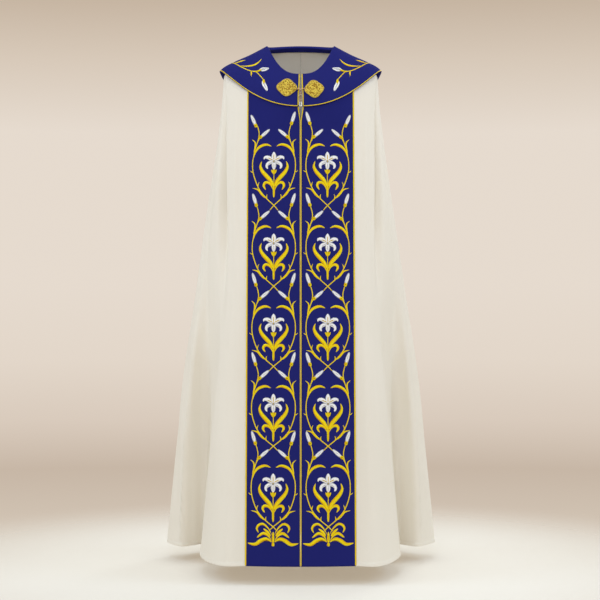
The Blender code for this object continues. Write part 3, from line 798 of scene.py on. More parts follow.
# %% [markdown]
# ## The spray at the foot
# Below the last crossing the stems root in a spray of curled leaves, with a spike and a knob in the
# middle and two long leaves that lie along the bottom.

# %% The foot spray
FOOT_HALF = [
    leaf([(2, 22), (13, 41), (27, 53), (39, 51), (45, 41), (40, 29)], 7.5, 0.58),
    leaf([(7, 20), (15, 31), (27, 41)], 8.0, 0.5),
    leaf([(4, 7), (14, 22), (28, 28), (45, 16)], 8.5, 0.6),
    leaf([(3, 4), (18, 13), (34, 8), (50, -2), (71, 1)], 11.5, 0.52),
    mark("gold", [(9, 7), (30, 7), (52, -1)], 1.4, 0.4, 0.95, 0.95),
]
FOOT_MIDDLE = [
    leaf([(0, 2), (0, 16), (0, 33)], 8.5, 0.45, 0.3),
    mark("gold", [(0, 8), (0, 15), (0, 24)], 1.3, 0.4, 1.2, 0.95),
    leaf([(0, -7), (0, -2), (0, 3)], 9.0, 0.45, 0.4, 0.1, 0.5),
]
FOOT_HEIGHT = -1.431

# %% [markdown]
# ## Sewing the drawing to the bands
# A stroke is drawn in the plane, and the band is curved in both directions. So each point of a stroke is
# looked up on the band: the row at which the band has this height and this distance from the centre is
# found by halving an interval, over and over, for all the points at once.

# %% Place a drawing on a band
BAND_CENTRE = BAND_REACH / 2
MILLIMETRE = 0.001
LILY_HEIGHTS = (-0.3544, -0.5917, -0.8211, -1.0463, -1.2670)
FULL_REPEAT = 0.2373      # the first repeat, to which the lower halves of the others are fitted
FOOT_REPEAT = 0.2215      # the last one, down to the crossing over the foot spray
FITTED_FROM = -60         # what is drawn lower than this is fitted, in millimetres from the lily
KEPT = 0.130              # the part of a repeat that isn't fitted
THREAD_SINK = 0.0002      # how deep a strand's edge sits in the cloth


def band_spot(x, z):
    """Place and row of the points of a band at this distance from the centre and this height."""
    low = np.zeros_like(x)
    high = np.full_like(x, HEM_ROW)
    for _ in range(36):
        row = (low + high) / 2
        ring = along(RINGS, row)
        reach, gap = band_limits(ring[..., 0], ring[..., 4])
        place = np.clip(BAND_PLACE * (x - gap) / (reach - gap), 0, BAND_PLACE)
        too_high = unfolded(place, row)[0][..., 2] > z
        low = np.where(too_high, row, low)
        high = np.where(too_high, high, row)
    return place, row


def stroke_sizes(stroke, count):
    """Widths and heights along a stroke, in metres."""
    share = np.linspace(0, 1, count)
    bent = share ** (math.log(0.5) / math.log(stroke.belly))
    profile = np.sin(math.pi * np.clip(bent, 0, 1)) ** stroke.fullness
    profile[0] = profile[-1] = 0.0
    full = 0.00035 + 0.00010 * stroke.width
    return stroke.width * MILLIMETRE * profile, stroke.rise * full * profile ** 0.7 + THREAD_SINK


def stroke_line(stroke, spacing=3.0):
    """Points of a stroke's smooth line, closer together where it is short."""
    line = np.array(stroke.line, float)
    length = np.hypot(*np.diff(line, axis=0).T).sum()
    count = int(np.clip(length / spacing, 9, 60))
    share = (1 - np.cos(np.linspace(0, math.pi, count + 1))) / 2
    share = 0.5 * share + 0.5 * np.linspace(0, 1, count + 1)
    return along(line, share * (len(line) - 1))


def drawn(strokes, height, mirror=1, squeeze=1.0):
    """Strokes with their points in the plane, round the point of a band's middle line at this height."""
    laid = []
    for stroke in strokes:
        line = stroke_line(stroke)
        above = line[:, 1] - FITTED_FROM
        fitted = FITTED_FROM + np.where(above < 0, above * squeeze, above)
        flat = np.column_stack((BAND_CENTRE + mirror * line[:, 0] * MILLIMETRE, height + fitted * MILLIMETRE))
        laid.append((stroke, flat))
    return laid


def sew(works, laid, points, out):
    """Makes each stroke a strand of its work, on its share of the points."""
    start = 0
    for stroke, flat in laid:
        stop = start + len(flat)
        width, rise = stroke_sizes(stroke, len(flat))
        works[stroke.thread].strand(points[start:stop], out[start:stop], width, rise, tone=stroke.tone)
        start = stop


# %% [markdown]
# ## Five repeats on each band
# The lower halves of the repeats close up a little on the way down, as the sewer fitted five of them to
# the length of the band.

# %% Sew the bands
laid = drawn(FOOT_MIDDLE, FOOT_HEIGHT) + drawn(FOOT_HALF, FOOT_HEIGHT) + drawn(FOOT_HALF, FOOT_HEIGHT, -1)
for index, height in enumerate(LILY_HEIGHTS):
    repeat = height - LILY_HEIGHTS[index + 1] if index + 1 < len(LILY_HEIGHTS) else FOOT_REPEAT
    squeeze = (repeat - KEPT) / (FULL_REPEAT - KEPT)
    laid += drawn(LILY_MIDDLE, height)
    for mirror in (1, -1):
        top = TOP_BUD_OUTER if index == 0 and mirror == 1 else TOP_BUD
        laid += drawn(LILY_HALF + VINE_HALF + top, height, mirror, squeeze)
flat = np.concatenate([line for stroke, line in laid])
lifts = np.concatenate([np.full(len(line), stroke.lift) for stroke, line in laid]) * MILLIMETRE
place, row = band_spot(flat[:, 0], flat[:, 1])
embroidery = {}
for side, end in SIDES:
    works = {"gold": Needlework("gold_work_" + end), "white": Needlework("white_work_" + end)}
    points = on_cloth(side, place, row, BAND_FACE - THREAD_SINK + lifts)
    sew(works, laid, points, out_of_cloth(side, place, row))
    embroidery[side] = {thread: work.finish() for thread, work in works.items()}

# %% [markdown]
# ## Sprays on the collar
# A smaller spray comes over each shoulder towards the breast, and ends in two buds. It is drawn in the
# collar's own places and rows, because this part of it turns from facing up to facing forward.

# %% The collar sprays
SPRAY_STEPS = 22          # points along each stroke


def small_bud(ground, petals, knob, widths, belly):
    """A bud with two white petals over a grey ground, on a gold knob, each of its lines given."""
    ground_width, petal_width, knob_width = widths
    return [Stroke("white", ground, ground_width, belly, 0.5, 0.0, 0.6, 0.3),
            *[Stroke("white", line, petal_width, belly, 0.55, 0.4, 0.02) for line in petals],
            leaf(knob, knob_width, 0.5, 0.7, 0.2, 0.5)]


COLLAR_SPRAY = [
    stem([(0.400, 2.24), (0.320, 2.08), (0.240, 1.93), (0.170, 1.67), (0.139, 1.30)]),
    *small_bud([(0.140, 1.26), (0.136, 0.98), (0.130, 0.68)],
               ([(0.142, 1.20), (0.140, 0.98), (0.131, 0.70)], [(0.136, 1.20), (0.131, 0.98), (0.129, 0.70)]),
               [(0.141, 1.44), (0.139, 1.28), (0.138, 1.08)], (9.5, 4.4, 6.5), 0.55),
    stem([(0.160, 1.62), (0.140, 1.46), (0.122, 1.50), (0.112, 1.58)], 3.0),
    *small_bud([(0.110, 1.62), (0.099, 1.90), (0.086, 2.22)],
               ([(0.112, 1.70), (0.104, 1.92), (0.088, 2.20)], [(0.107, 1.70), (0.095, 1.90), (0.086, 2.18)]),
               [(0.114, 1.52), (0.109, 1.66), (0.104, 1.80)], (11.0, 5.0, 7.5), 0.5),
    leaf([(0.260, 1.98), (0.225, 1.66), (0.203, 1.30), (0.203, 0.94), (0.219, 0.66)], 7.0),
    leaf([(0.345, 2.16), (0.320, 1.98), (0.308, 1.72), (0.296, 1.44)], 7.0, 0.62),
    leaf([(0.170, 1.66), (0.152, 1.76), (0.137, 1.92)], 4.6, 0.45, 0.2),
]
laid = [(stroke, along(stroke.line, np.linspace(0, len(stroke.line) - 1, SPRAY_STEPS)))
        for stroke in COLLAR_SPRAY]
place, row = np.concatenate([line for stroke, line in laid]).T
lifts = np.repeat([stroke.lift for stroke in COLLAR_SPRAY], SPRAY_STEPS) * MILLIMETRE
spray = {"gold": Needlework("collar_gold_work"), "white": Needlework("collar_white_work")}
for side, end in SIDES:
    points = on_collar(side, place, row, lifts - THREAD_SINK)
    sew(spray, laid, points, out_of_cloth(side, place, row))
collar_gold_work = spray["gold"].finish()
collar_white_work = spray["white"].finish()

# %% [markdown]
# ## The morse: two padded diamonds of bullion
# Bullion is a tiny spring of gilt wire. It is cut into short lengths that are sewn down side by side over
# a pad, so the patch looks like a bed of grains. A low pad gives the shape, a few hundred seeded grains
# make the surface, and a cord covers the rim. A share of the grains is painted dark as painted shade,
# and the pad is painted dark as the shade in the gaps between them.

# %% The morse patches
Patch = namedtuple("Patch", "across height half_width half_height lean seed")
PATCHES = {
    "morse_left": Patch(-0.0403, -0.1362, 0.0295, 0.0273, math.radians(-4), 4),
    "morse_right": Patch(0.0391, -0.1408, 0.0280, 0.0272, math.radians(7), 9),
}
PATCH_POWER = 1.45
PATCH_RIM = 0.0016
PATCH_CROWN = 0.0030
PATCH_CORDS = ((0.985, 0.0024), (0.8865, 0.0018))  # how far out each cord of the rim lies, and its width
CORD_SINK = 0.0004
PATCH_STANDOFF = 0.0006
GRAIN_LENGTH = 0.0050
GRAIN_WIDTH = 0.0023
GRAIN_PITCH = (0.0036, 0.0021)
GRAIN_STRAY = (0.0005, 0.0003)
GRAIN_TURN = 0.7          # grains lean by turns one way and the other, so that no rows show
GRAIN_ARCH = 0.0005
GRAIN_SINK = 0.0003
GRAINS_END = 0.94         # how far out the grains go
# the grains so turned are painted dark, as painted shade
SHADED_GRAINS = 0.34        # the share of the grains that turn away from the light
RIM_STEPS = 97
PAD_STEPS = 33


def collar_spot(side, x, z):
    """Place and row of the points of the collar's front with this x and z, by Newton's steps."""
    place = BAND_PLACE * np.abs(x) / BAND_REACH
    row = np.full_like(place, 1.5)
    step = 0.001

    def miss(place, row):
        point = on_collar(side, place, row, np.full_like(place, 0.002))
        return np.abs(point[..., 0]) - np.abs(x), point[..., 2] - z

    for _ in range(8):
        miss_x, miss_z = miss(place, row)
        place_x, place_z = (value - start for value, start in zip(miss(place + step, row), (miss_x, miss_z)))
        row_x, row_z = (value - start for value, start in zip(miss(place, row + step), (miss_x, miss_z)))
        scale = (place_x * row_z - row_x * place_z) / step
        place = place - (row_z * miss_x - row_x * miss_z) / scale
        row = row - (place_x * miss_z - place_z * miss_x) / scale
    return place, row


def diamond_reach(turn):
    """Distance from the middle of a rounded diamond to its rim, with a slight lobe at each corner."""
    reach = (np.abs(np.cos(turn)) ** PATCH_POWER + np.abs(np.sin(turn)) ** PATCH_POWER) ** (-1 / PATCH_POWER)
    return reach * (1 + 0.020 * np.cos(4 * turn) - 0.012 * np.cos(8 * turn))


def patch_share(patch, flat_x, flat_y):
    """How far out a point of a patch lies: 0 in its middle and 1 at its rim."""
    across, up = flat_x / patch.half_width, flat_y / patch.half_height
    return np.hypot(across, up) / diamond_reach(np.arctan2(up, across))


def on_patch(patch, flat_x, flat_y, lift):
    """Points over a patch's pad, and the directions out of it."""
    side = LEFT if patch.across < 0 else RIGHT
    turned_x = flat_x * math.cos(patch.lean) - flat_y * math.sin(patch.lean)
    turned_y = flat_x * math.sin(patch.lean) + flat_y * math.cos(patch.lean)
    place, row = collar_spot(side, patch.across + turned_x, patch.height + turned_y)
    share = patch_share(patch, flat_x, flat_y)
    crown = PATCH_RIM + (PATCH_CROWN - PATCH_RIM) * np.sqrt(np.maximum(1 - share ** 2, 0))
    return on_collar(side, place, row, PATCH_STANDOFF + crown + lift), out_of_cloth(side, place, row)


morses = {}
for name, patch in PATCHES.items():
    work = Needlework(name + "_bullion")
    chance = np.random.default_rng(patch.seed)
    grid_x, grid_y = np.meshgrid(np.arange(-9, 10), np.arange(-15, 16))
    flat_x = (grid_x + 0.5 * (grid_y % 2)).ravel() * GRAIN_PITCH[0]
    flat_x = flat_x + chance.normal(0, GRAIN_STRAY[0], grid_x.size)
    flat_y = grid_y.ravel() * GRAIN_PITCH[1] + chance.normal(0, GRAIN_STRAY[1], grid_x.size)
    lean = np.where((grid_x + grid_y).ravel() % 2, GRAIN_TURN, -GRAIN_TURN)
    lean = lean + chance.normal(0, 0.5, grid_x.size)
    # painted shade: the grains that turn away from the light are painted dark
    tone = np.where(chance.uniform(0, 1, grid_x.size) < SHADED_GRAINS, 0.9, 0.02)
    tone = tone + chance.uniform(-0.02, 0.1, grid_x.size)
    kept = patch_share(patch, flat_x, flat_y) < GRAINS_END
    reach = np.linspace(-0.5, 0.5, 5)
    grain_x = flat_x[kept, None] + reach * GRAIN_LENGTH * np.cos(lean[kept, None])
    grain_y = flat_y[kept, None] + reach * GRAIN_LENGTH * np.sin(lean[kept, None])
    lines, outs = on_patch(patch, grain_x, grain_y, GRAIN_ARCH * np.cos(reach * math.pi) - GRAIN_SINK)
    thick = GRAIN_WIDTH * np.array((0.35, 0.9, 1.0, 0.9, 0.35))
    for line, out, shade in zip(lines, outs, tone[kept]):
        work.strand(line, out, thick, thick / 2, under=1.0, tone=shade)
    # the cords round the rim
    turn = np.linspace(0, 2 * math.pi, RIM_STEPS)
    for inset, thick in PATCH_CORDS:
        reach = inset * diamond_reach(turn)
        line, out = on_patch(patch, reach * np.cos(turn) * patch.half_width,
                             reach * np.sin(turn) * patch.half_height, np.full(RIM_STEPS, -CORD_SINK))
        line[-1], out[-1] = line[0], out[0]
        work.strand(line, out, thick, thick / 2, under=1.0, tone=0.5)
    # the pad under the grains, painted dark as the shade between them, a strand as wide as the diamond is
    # high
    share = np.linspace(-1, 1, PAD_STEPS)
    half = np.maximum(1 - np.abs(share) ** PATCH_POWER, 0) ** (1 / PATCH_POWER)
    line, out = on_patch(patch, share * patch.half_width * 0.99, np.zeros(PAD_STEPS),
                         np.full(PAD_STEPS, -PATCH_CROWN))
    work.strand(line, out, 1.96 * patch.half_height * half, PATCH_CROWN * half ** 0.5, under=0.2, tone=1.0)
    morses[name] = work.finish(merge=1e-7)

# %% [markdown]
# ## The clasp and its chain
# Between the patches a hook goes through an eye, and a short chain with a small hook hangs from it. The
# links are ovals of round wire, each turned a quarter against the last. They take the frame's own sizes,
# since the chain really swings, and only their wires are rounder here.

# %% Clasp and chain
CLASP_HEIGHT = -0.1414
CLASP_STANDOFF = 0.0145
CHAIN_REACH = 0.066       # from the hook's bar to the foot of the chain
BAR_RADIUS = 0.0011
BAR_LEFT = -0.0100
BAR_RIGHT = 0.0125
EYE_ACROSS = -0.0075
EYE_RADIUS = 0.0034
LINK_LENGTH = 0.0120
LINK_WIDTH = 0.0078
LINK_WIRE = 0.0017
LINK_COUNT = 5
HOOK_LENGTH = 0.0200
HOOK_WIDTH = 0.0068
HOOK_WIRE = 0.0019


def centre_front(height, standoff):
    """A point on the centre line at this height, standing off the body cloth."""
    rows = np.linspace(0, HEM_ROW, 6001)
    row = np.interp(-height, -along(RINGS, rows)[:, 4], rows)
    ring = along(RINGS, row)
    out = outward(LEFT, np.array(0.0), np.array(row))
    return np.array((0.0, ring[1] + out[1] * standoff, ring[4]))


def oval(centre, down, across, length, width):
    """Points round a link: two straight sides and two half circles."""
    radius = width / 2
    straight = length / 2 - radius
    turn = np.linspace(0, math.pi, 13)
    offsets = [(end * radius * np.cos(turn), end * (straight + radius * np.sin(turn))) for end in (1, -1)]
    x = np.concatenate([offset[0] for offset in offsets])
    z = np.concatenate([offset[1] for offset in offsets])
    points = centre + down * z[:, None] + across * x[:, None]
    return np.vstack((points, points[:1]))


def wire(name, line, out, diameter, pointed=False):
    """A round wire; an open one gets rounded ends."""
    size = np.full(len(line), diameter)
    if pointed:
        size[[0, 1, -2, -1]] *= (0.0, 0.8, 0.8, 0.0)
    return one_strand(name, line, out, size, size / 2, under=1.0, sides=12)


bar = centre_front(CLASP_HEIGHT, CLASP_STANDOFF)
foot = centre_front(CLASP_HEIGHT - CHAIN_REACH, CLASP_STANDOFF)
down = (foot - bar) / np.linalg.norm(foot - bar)
out = np.array((0, down[2], -down[1]))
right = np.array((1.0, 0.0, 0.0))
ends = np.array([(BAR_LEFT, 0.0030), (BAR_LEFT - 0.0006, 0.0012), (BAR_LEFT + 0.0006, 0.0), (0.0, 0.0),
                 (BAR_RIGHT, 0.0), (BAR_RIGHT + 0.0035, 0.0002)])
ends = along(ends, np.linspace(0, len(ends) - 1, 31))
metal = {"clasp_hook": wire("clasp_hook_wire", bar + ends[:, :1] * right + ends[:, 1:] * down, out,
                            2 * BAR_RADIUS, pointed=True)}
turn = np.linspace(0, 2 * math.pi, 33)
eye = bar + right * EYE_ACROSS
eye = eye + (np.cos(turn)[:, None] * down + np.sin(turn)[:, None] * out) * EYE_RADIUS
eye[-1] = eye[0]
metal["clasp_eye"] = wire("clasp_eye_wire", eye, right, LINK_WIRE)
first = LINK_LENGTH / 2 - LINK_WIRE - CLEARANCE - BAR_RADIUS
pitch = LINK_LENGTH - 2 * LINK_WIRE - CLEARANCE
for index in range(LINK_COUNT):
    across, facing = (right, out) if index % 2 else (out, right)
    line = oval(bar + down * (first + pitch * index), down, across, LINK_LENGTH - LINK_WIRE,
                LINK_WIDTH - LINK_WIRE)
    name = "chain_link_%d" % (index + 1)
    metal[name] = wire(name + "_wire", line, facing, LINK_WIRE)
top = first + pitch * (LINK_COUNT - 1) + LINK_LENGTH / 2 - LINK_WIRE - CLEARANCE - HOOK_WIRE / 2
centre = bar + down * (top + (HOOK_LENGTH - HOOK_WIRE) / 2)
line = oval(centre, down, right, HOOK_LENGTH - HOOK_WIRE, HOOK_WIDTH - HOOK_WIRE)
metal["chain_hook"] = wire("chain_hook_wire", line, out, HOOK_WIRE)

# %% [markdown]
# ## Shader maths in plain Python
# A material is a small network of nodes. A wire of that network is wrapped in a class, so that a sum on
# wires is written as a sum and adds its Math nodes. Every other node comes from one method, which sets
# the node's own settings first and then its sockets.

# %% Helpers for materials
class Wire:
    """An output of a node, which can be used in sums."""

    def __init__(self, finish, socket):
        self.finish = finish
        self.socket = socket

    def maths(self, operation, *values):
        return self.finish.node("ShaderNodeMath", {"operation": operation}, dict(enumerate(values)))

    def sine(self):
        return self.maths("SINE", self)

    def __add__(self, other):
        return self.maths("ADD", self, other)

    def __sub__(self, other):
        return self.maths("SUBTRACT", self, other)

    def __rsub__(self, other):
        return self.maths("SUBTRACT", other, self)

    def __mul__(self, other):
        return self.maths("MULTIPLY", self, other)

    __radd__ = __add__
    __rmul__ = __mul__


class Finish:
    """The nodes of a material or a world, with one method that adds any node."""

    def __init__(self, owner):
        self.owner = owner
        owner.use_nodes = True
        self.tree = owner.node_tree

    def node(self, kind, settings=None, sockets=None, out=0):
        """Adds a node, and returns the wire of one of its outputs."""
        made = self.tree.nodes.new(kind)
        for key, value in (settings or {}).items():
            if key == "stops":
                ramp = made.color_ramp
                ramp.elements[0].position, ramp.elements[1].position = value[0][0], value[-1][0]
                for place, shade in value[1:-1]:
                    ramp.elements.new(place)
                for element, (place, shade) in zip(ramp.elements, value):
                    element.color = colour(*shade)
            else:
                setattr(made, key, value)
        for key, value in (sockets or {}).items():
            self.join(made.inputs[key], value)
        return Wire(self, made.outputs[out])

    def join(self, socket, value):
        if isinstance(value, Wire):
            self.tree.links.new(value.socket, socket)
        else:
            socket.default_value = value

    def place(self, way="Object"):
        """Where a point of the piece lies, in metres."""
        return self.node("ShaderNodeTexCoord", out=way)

    def split(self, vector):
        """The wires of a vector's three parts."""
        parts = self.node("ShaderNodeSeparateXYZ", {}, {0: vector}).socket.node.outputs
        return [Wire(self, part) for part in parts]

    def noise(self, place, scale, detail):
        return self.node("ShaderNodeTexNoise", {}, {"Vector": place, "Scale": scale, "Detail": detail})

    def bump(self, strength, distance, height):
        return self.node("ShaderNodeBump", {}, {"Strength": strength, "Distance": distance, "Height": height})

    def ramp(self, value, low, high, start=0.0, end=1.0, kind="SMOOTHSTEP"):
        """Goes from start to end while the value goes from low to high."""
        return self.node("ShaderNodeMapRange", {"interpolation_type": kind},
                         {"Value": value, "From Min": low, "From Max": high, "To Min": start, "To Max": end})

    def mix(self, factor, one, two):
        return self.node("ShaderNodeMix", {"data_type": "RGBA"}, {0: factor, 6: one, 7: two}, out=2)

    def principled(self, **values):
        for key, value in values.items():
            self.join(self.tree.nodes["Principled BSDF"].inputs[key.replace("_", " ")], value)
        print("%s: %d nodes" % (self.owner.name, len(self.tree.nodes)))
        return self.owner


def colour(red, green, blue):
    """A colour as a socket takes it."""
    return (red, green, blue, 1.0)


# %% [markdown]
# ## Woven cloth
# The cream body cloth is a fine matt twill with a soft fall, and the blue cloth is a closer weave with a
# little more sheen. Both are two sets of threads at right angles. The UV map is in metres, so the threads
# have their true pitch. A slow noise shifts the colour by a few hundredths, as in any dyed cloth.

# %% Cloth materials
def woven(name, light, dark, pitch, twill, roughness, sheen, relief, gloss):
    """A woven cloth: threads across and along, with the lean of a twill."""
    finish = Finish(bpy.data.materials.new(name))
    x, y, flat = finish.split(finish.node("ShaderNodeUVMap", {"uv_map": "cloth"}))
    turns = 2 * math.pi / pitch
    warp = (x * turns + y * (turns * twill)).sine()
    weft = (y * turns - x * (turns * twill)).sine()
    weave = warp * weft * 0.5 + 0.5
    place = finish.place()
    slub = finish.noise(place, 260.0, 2.0)
    tint = finish.noise(place, 5.0, 3.0) * 0.7 + slub * 0.3
    tone = finish.node("ShaderNodeValToRGB", {"stops": [(0.3, dark), (0.7, light)]}, {0: tint})
    fabric = finish.mix(weave * 0.10, tone, colour(*[value * 0.80 for value in dark]))
    return finish.principled(Base_Color=fabric, Roughness=slub * 0.12 + (roughness - 0.06),
                             Normal=finish.bump(relief, 0.0002, weave + slub * 0.5), Sheen_Weight=sheen,
                             Sheen_Roughness=0.5, Specular_IOR_Level=gloss)


cream_cloth = woven("cream_cloth", (0.890, 0.854, 0.778), (0.860, 0.822, 0.738), pitch=0.0009, twill=0.5,
                    roughness=0.84, sheen=0.10, relief=0.35, gloss=0.25)
blue_cloth = woven("blue_cloth", (0.0150, 0.0180, 0.172), (0.0125, 0.0155, 0.148), pitch=0.0007, twill=0.0,
                   roughness=0.75, sheen=0.0, relief=0.45, gloss=0.08)

# %% [markdown]
# ## Stitched thread
# Gold thread is a flat strip of gilt wound round silk: half metal, half yellow. In satin stitch the
# threads lie side by side across the shape, so the surface has fine ribs along the strand. Its colour
# has a painted highlight on one flank and painted shade on the other, and painted shade in the grooves
# between the ribs and where the thread turns under at the edges. The three numbers that each strand
# keeps say where a rib and a flank are. White thread is silk, and the same numbers paint grey shade on
# it in the grooves and at the outlines.

# %% Thread materials
# bright is the painted highlight flank and deep the painted shade flank; dark is dark thread, and painted
# shade in the grooves and at the edges
def stitched(name, bright, deep, dark, pitch, slant, metallic, roughness, gloss, groove):
    """Thread in close stitches, with a painted highlight on one flank, painted shade on the other, and
    painted shade in the grooves and where it turns under.
    """
    finish = Finish(bpy.data.materials.new(name))
    thread = finish.node("ShaderNodeAttribute", {"attribute_name": "thread"}, out="Vector")
    length, across, tone = finish.split(thread)
    ribs = (length * (2 * math.pi / pitch) + across * slant).sine() * 0.5 + 0.5
    fray = finish.noise(finish.place(), 900.0, 2.0)
    # painted highlight on one flank and painted shade on the other, by how far across the strand a point lies
    flank_light_and_shade = finish.mix(finish.ramp(across + fray * 0.6, -0.3, 1.3), colour(*bright), colour(*deep))
    # the strand's tone darkens it: dark thread, and painted shade in the dark grains, the pad and the shade
    # marks of the lily
    shade = finish.mix(tone, flank_light_and_shade, colour(*dark))
    # painted shade in the grooves between the ribs and at the edges, where the thread turns under
    square = across * across
    groove_and_edge_shaded = finish.mix(ribs * groove + square * square * 0.38, shade, colour(*dark))
    return finish.principled(Base_Color=groove_and_edge_shaded, Metallic=metallic, Specular_IOR_Level=gloss,
                             Normal=finish.bump(0.6, 0.0003, ribs + fray * 0.5),
                             Roughness=fray * 0.2 + (roughness - 0.1))


# each thread's second colour is its painted shade flank, and its third its dark thread and painted shade in
# grooves and at edges
gold_thread = stitched("gold_thread", (1.0, 0.84, 0.020), (0.92, 0.54, 0.004), (0.30, 0.155, 0.001),
                       pitch=0.0011, slant=1.2, metallic=0.30, roughness=0.45, gloss=0.04, groove=0.20)
white_thread = stitched("white_thread", (1.0, 1.0, 1.0), (0.93, 0.95, 1.0), (0.16, 0.18, 0.24),
                        pitch=0.0011, slant=1.2, metallic=0.0, roughness=0.50, gloss=0.5, groove=0.04)
gold_bullion = stitched("gold_bullion", (1.0, 0.87, 0.16), (1.0, 0.70, 0.03), (0.42, 0.20, 0.001),
                        pitch=0.0006, slant=0.0, metallic=0.25, roughness=0.30, gloss=0.4, groove=0.12)

# %% [markdown]
# ## Metal
# The clasp and the links are dark gilt bronze, and the little hook at the end is plated with nickel, so
# the colour changes at the hook's height. A fine noise in colour and roughness does the rest.

# %% Metal material
HOOK_TOP = -0.1805
finish = Finish(bpy.data.materials.new("clasp_metal"))
place = finish.place()
height = finish.split(place)[2]
wear = finish.noise(place, 600.0, 4.0)
bronze = finish.mix(wear, colour(0.66, 0.42, 0.24), colour(0.34, 0.19, 0.10))
nickel = finish.mix(wear, colour(0.97, 0.95, 0.93), colour(0.80, 0.78, 0.76))
plated = finish.ramp(height, HOOK_TOP, HOOK_TOP - 0.001, kind="LINEAR")
clasp_metal = finish.principled(Base_Color=finish.mix(plated, bronze, nickel), Metallic=1.0,
                                Roughness=wear * 0.25 + 0.10, Normal=finish.bump(0.25, 0.0002, wear))

# %% [markdown]
# ## Every piece on its body
# Each piece gets its material and the frame body that it moves with, and the solids that it stands
# for are hidden. The cloth, the needlework and the clasp belong to the garment, and the links hang
# from it on a body of their own.

# %% Materials and bodies
FINISHES = {"cream_cloth": cream_cloth, "blue_cloth": blue_cloth, "gold_thread": gold_thread,
            "white_thread": white_thread, "gold_bullion": gold_bullion, "clasp_metal": clasp_metal}


def fit(piece, slot, body, *nodes):
    """Gives a piece its finish and its body, and hides the solids that it stands for."""
    piece.data.materials.append(FINISHES[slot])
    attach(piece, body)
    if nodes:
        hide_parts(*nodes)


for side, end in SIDES:
    fit(bodies[side], "cream_cloth", "garment", "body_" + end)
    fit(bands[side], "blue_cloth", "garment", "band_" + end)
    fit(embroidery[side]["gold"], "gold_thread", "garment")
    fit(embroidery[side]["white"], "white_thread", "garment")
for node, piece in braids.items():
    fit(piece, "gold_thread", "garment", node)
for node, piece in morses.items():
    fit(piece, "gold_bullion", "garment", node)
for node, piece in metal.items():
    fit(piece, "clasp_metal", "chain" if node.startswith("chain") else "garment", node)
fit(collar, "blue_cloth", "garment", "cape_collar")
fit(collar_cord, "gold_thread", "garment", "collar_piping")
fit(collar_gold_work, "gold_thread", "garment")
fit(collar_white_work, "white_thread", "garment")

# %% [markdown]
# ## The cut of the cloth
# Each half of the body is a flared panel with a curved neck and hem, so its area is less than its box.
# The bands are straight strips, and the collar is a sector of a ring that is deeper at the back.

# %% [markdown]
# ## The camera
# It stands straight in front at breast height, well back, so the verticals stay upright.

# %% Camera
camera = bpy.data.cameras.new("camera")
camera.sensor_width = 36.0
camera.lens = 90.78
view = in_scene("camera", camera)
view.location = (-0.0019, -4.5, -0.7536)
view.rotation_euler = (math.pi / 2, 0, 0)
bpy.context.scene.camera = view
bpy.context.scene.view_settings.view_transform = "Standard"
print("camera: %.1f m in front, lens %.0f mm" % (-view.location.y, camera.lens))

# %% [markdown]
# ## The floor
# A pale round mat fades out into the ground. It glows a little, which is painted light: it keeps the
# shadow under a long garment soft and warm.

# %% Floor
FLOOR_HEIGHT = -1.545
FLOOR_RADIUS = 1.6
FADE_START = 0.55         # the distances from the middle between which the mat fades out
FADE_END = 1.55
disc = bmesh.new()
bmesh.ops.create_circle(disc, cap_ends=True, segments=96, radius=FLOOR_RADIUS,
                        matrix=Matrix.Translation((0, 0, FLOOR_HEIGHT)))
floor = in_scene("floor", mesh_of("floor", disc))
finish = Finish(bpy.data.materials.new("pale_floor"))
place = finish.place()
tone = finish.mix(finish.noise(place, 40.0, 3.0), colour(0.635, 0.67, 0.675), colour(0.61, 0.645, 0.65))
x, y, z = finish.split(place)
square = x * x + y * y
fade = finish.ramp(square.maths("SQRT", square), FADE_START, FADE_END, 1.0, 0.0)
# the floor's glow is painted light, which lifts the shadow under the garment
pale = finish.principled(Base_Color=tone, Roughness=0.9, Alpha=fade, Emission_Strength=1.0,
                         Emission_Color=colour(0.29, 0.235, 0.175))
floor.data.materials.append(pale)
floor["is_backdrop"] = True

# %% [markdown]
# ## The light
# It is that of a pale studio: an even sky, a broad lamp in front above the head, and weaker ones at the
# sides to draw the folds.

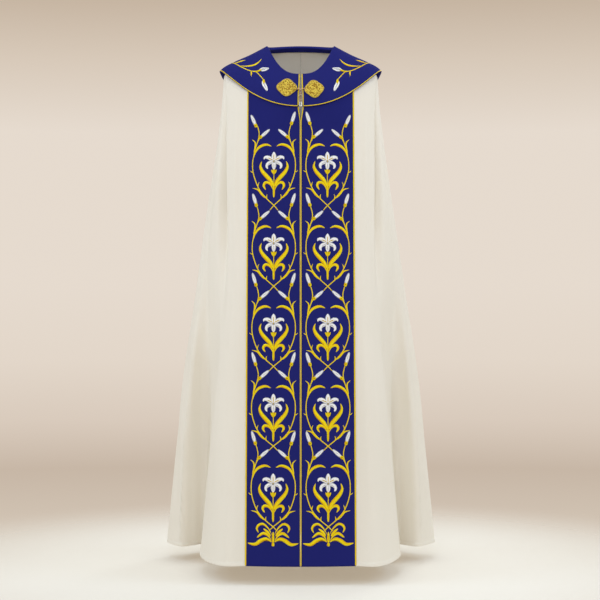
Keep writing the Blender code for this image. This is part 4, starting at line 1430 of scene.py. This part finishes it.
# %% Light
SKY = [  # the height of a direction, from -1 straight down to 1 straight up, and its colour
    (-0.400, (0.760, 0.720, 0.650)), (-0.175, (0.740, 0.690, 0.610)), (-0.145, (0.640, 0.550, 0.455)),
    (-0.110, (0.570, 0.470, 0.380)), (-0.080, (0.690, 0.590, 0.500)), (-0.040, (0.765, 0.675, 0.585)),
    (0.010, (0.790, 0.705, 0.620)), (0.110, (0.790, 0.705, 0.620)), (0.157, (0.680, 0.580, 0.480)),
    (0.195, (0.560, 0.455, 0.355)), (0.420, (0.520, 0.490, 0.410)),
]
world = bpy.data.worlds.new("studio")
sky = Finish(world)
level = sky.split(sky.place("Generated"))[2] * 0.5 + 0.5
stops = [((height + 1) / 2, shade) for height, shade in SKY]
sky.join(sky.tree.nodes["Background"].inputs[0],
         sky.node("ShaderNodeValToRGB", {"stops": stops}, {0: level}))
bpy.context.scene.world = world


def lamp(name, place, aim, size, power, shade=(1.0, 1.0, 1.0)):
    """A broad square lamp that points at a spot."""
    light = bpy.data.lights.new(name, "AREA")
    light.size = size
    light.energy = power
    light.color = shade
    item = in_scene(name, light)
    item.location = place
    item.rotation_euler = (Vector(aim) - Vector(place)).to_track_quat("-Z", "Y").to_euler()
    print("%s: %d W" % (name, power))


lamp("front_lamp", (-0.3, -4.4, 2.2), (0, 0, -0.5), 1.6, 58, (0.80, 0.87, 1.0))
lamp("right_lamp", (3.2, -0.8, 1.5), (0, 0, -0.7), 2.0, 39, (0.66, 0.82, 1.0))
lamp("left_lamp", (-3.2, -0.8, 1.5), (0, 0, -0.7), 2.0, 37, (0.66, 0.82, 1.0))
lamp("back_lamp", (2.2, 3.6, 1.4), (0, 0, -0.7), 1.4, 30)
lamp("overhead_lamp", (0, 0, 3.4), (0, -0.1, -1.5), 2.6, 34, (0.90, 0.94, 1.0))

# %% [markdown]
# ## Measure and finish
# The looks may stand a few millimetres proud of the frame. Their box is printed below.

# %% Sizes
visual_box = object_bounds()
show_box("visual box", visual_box)
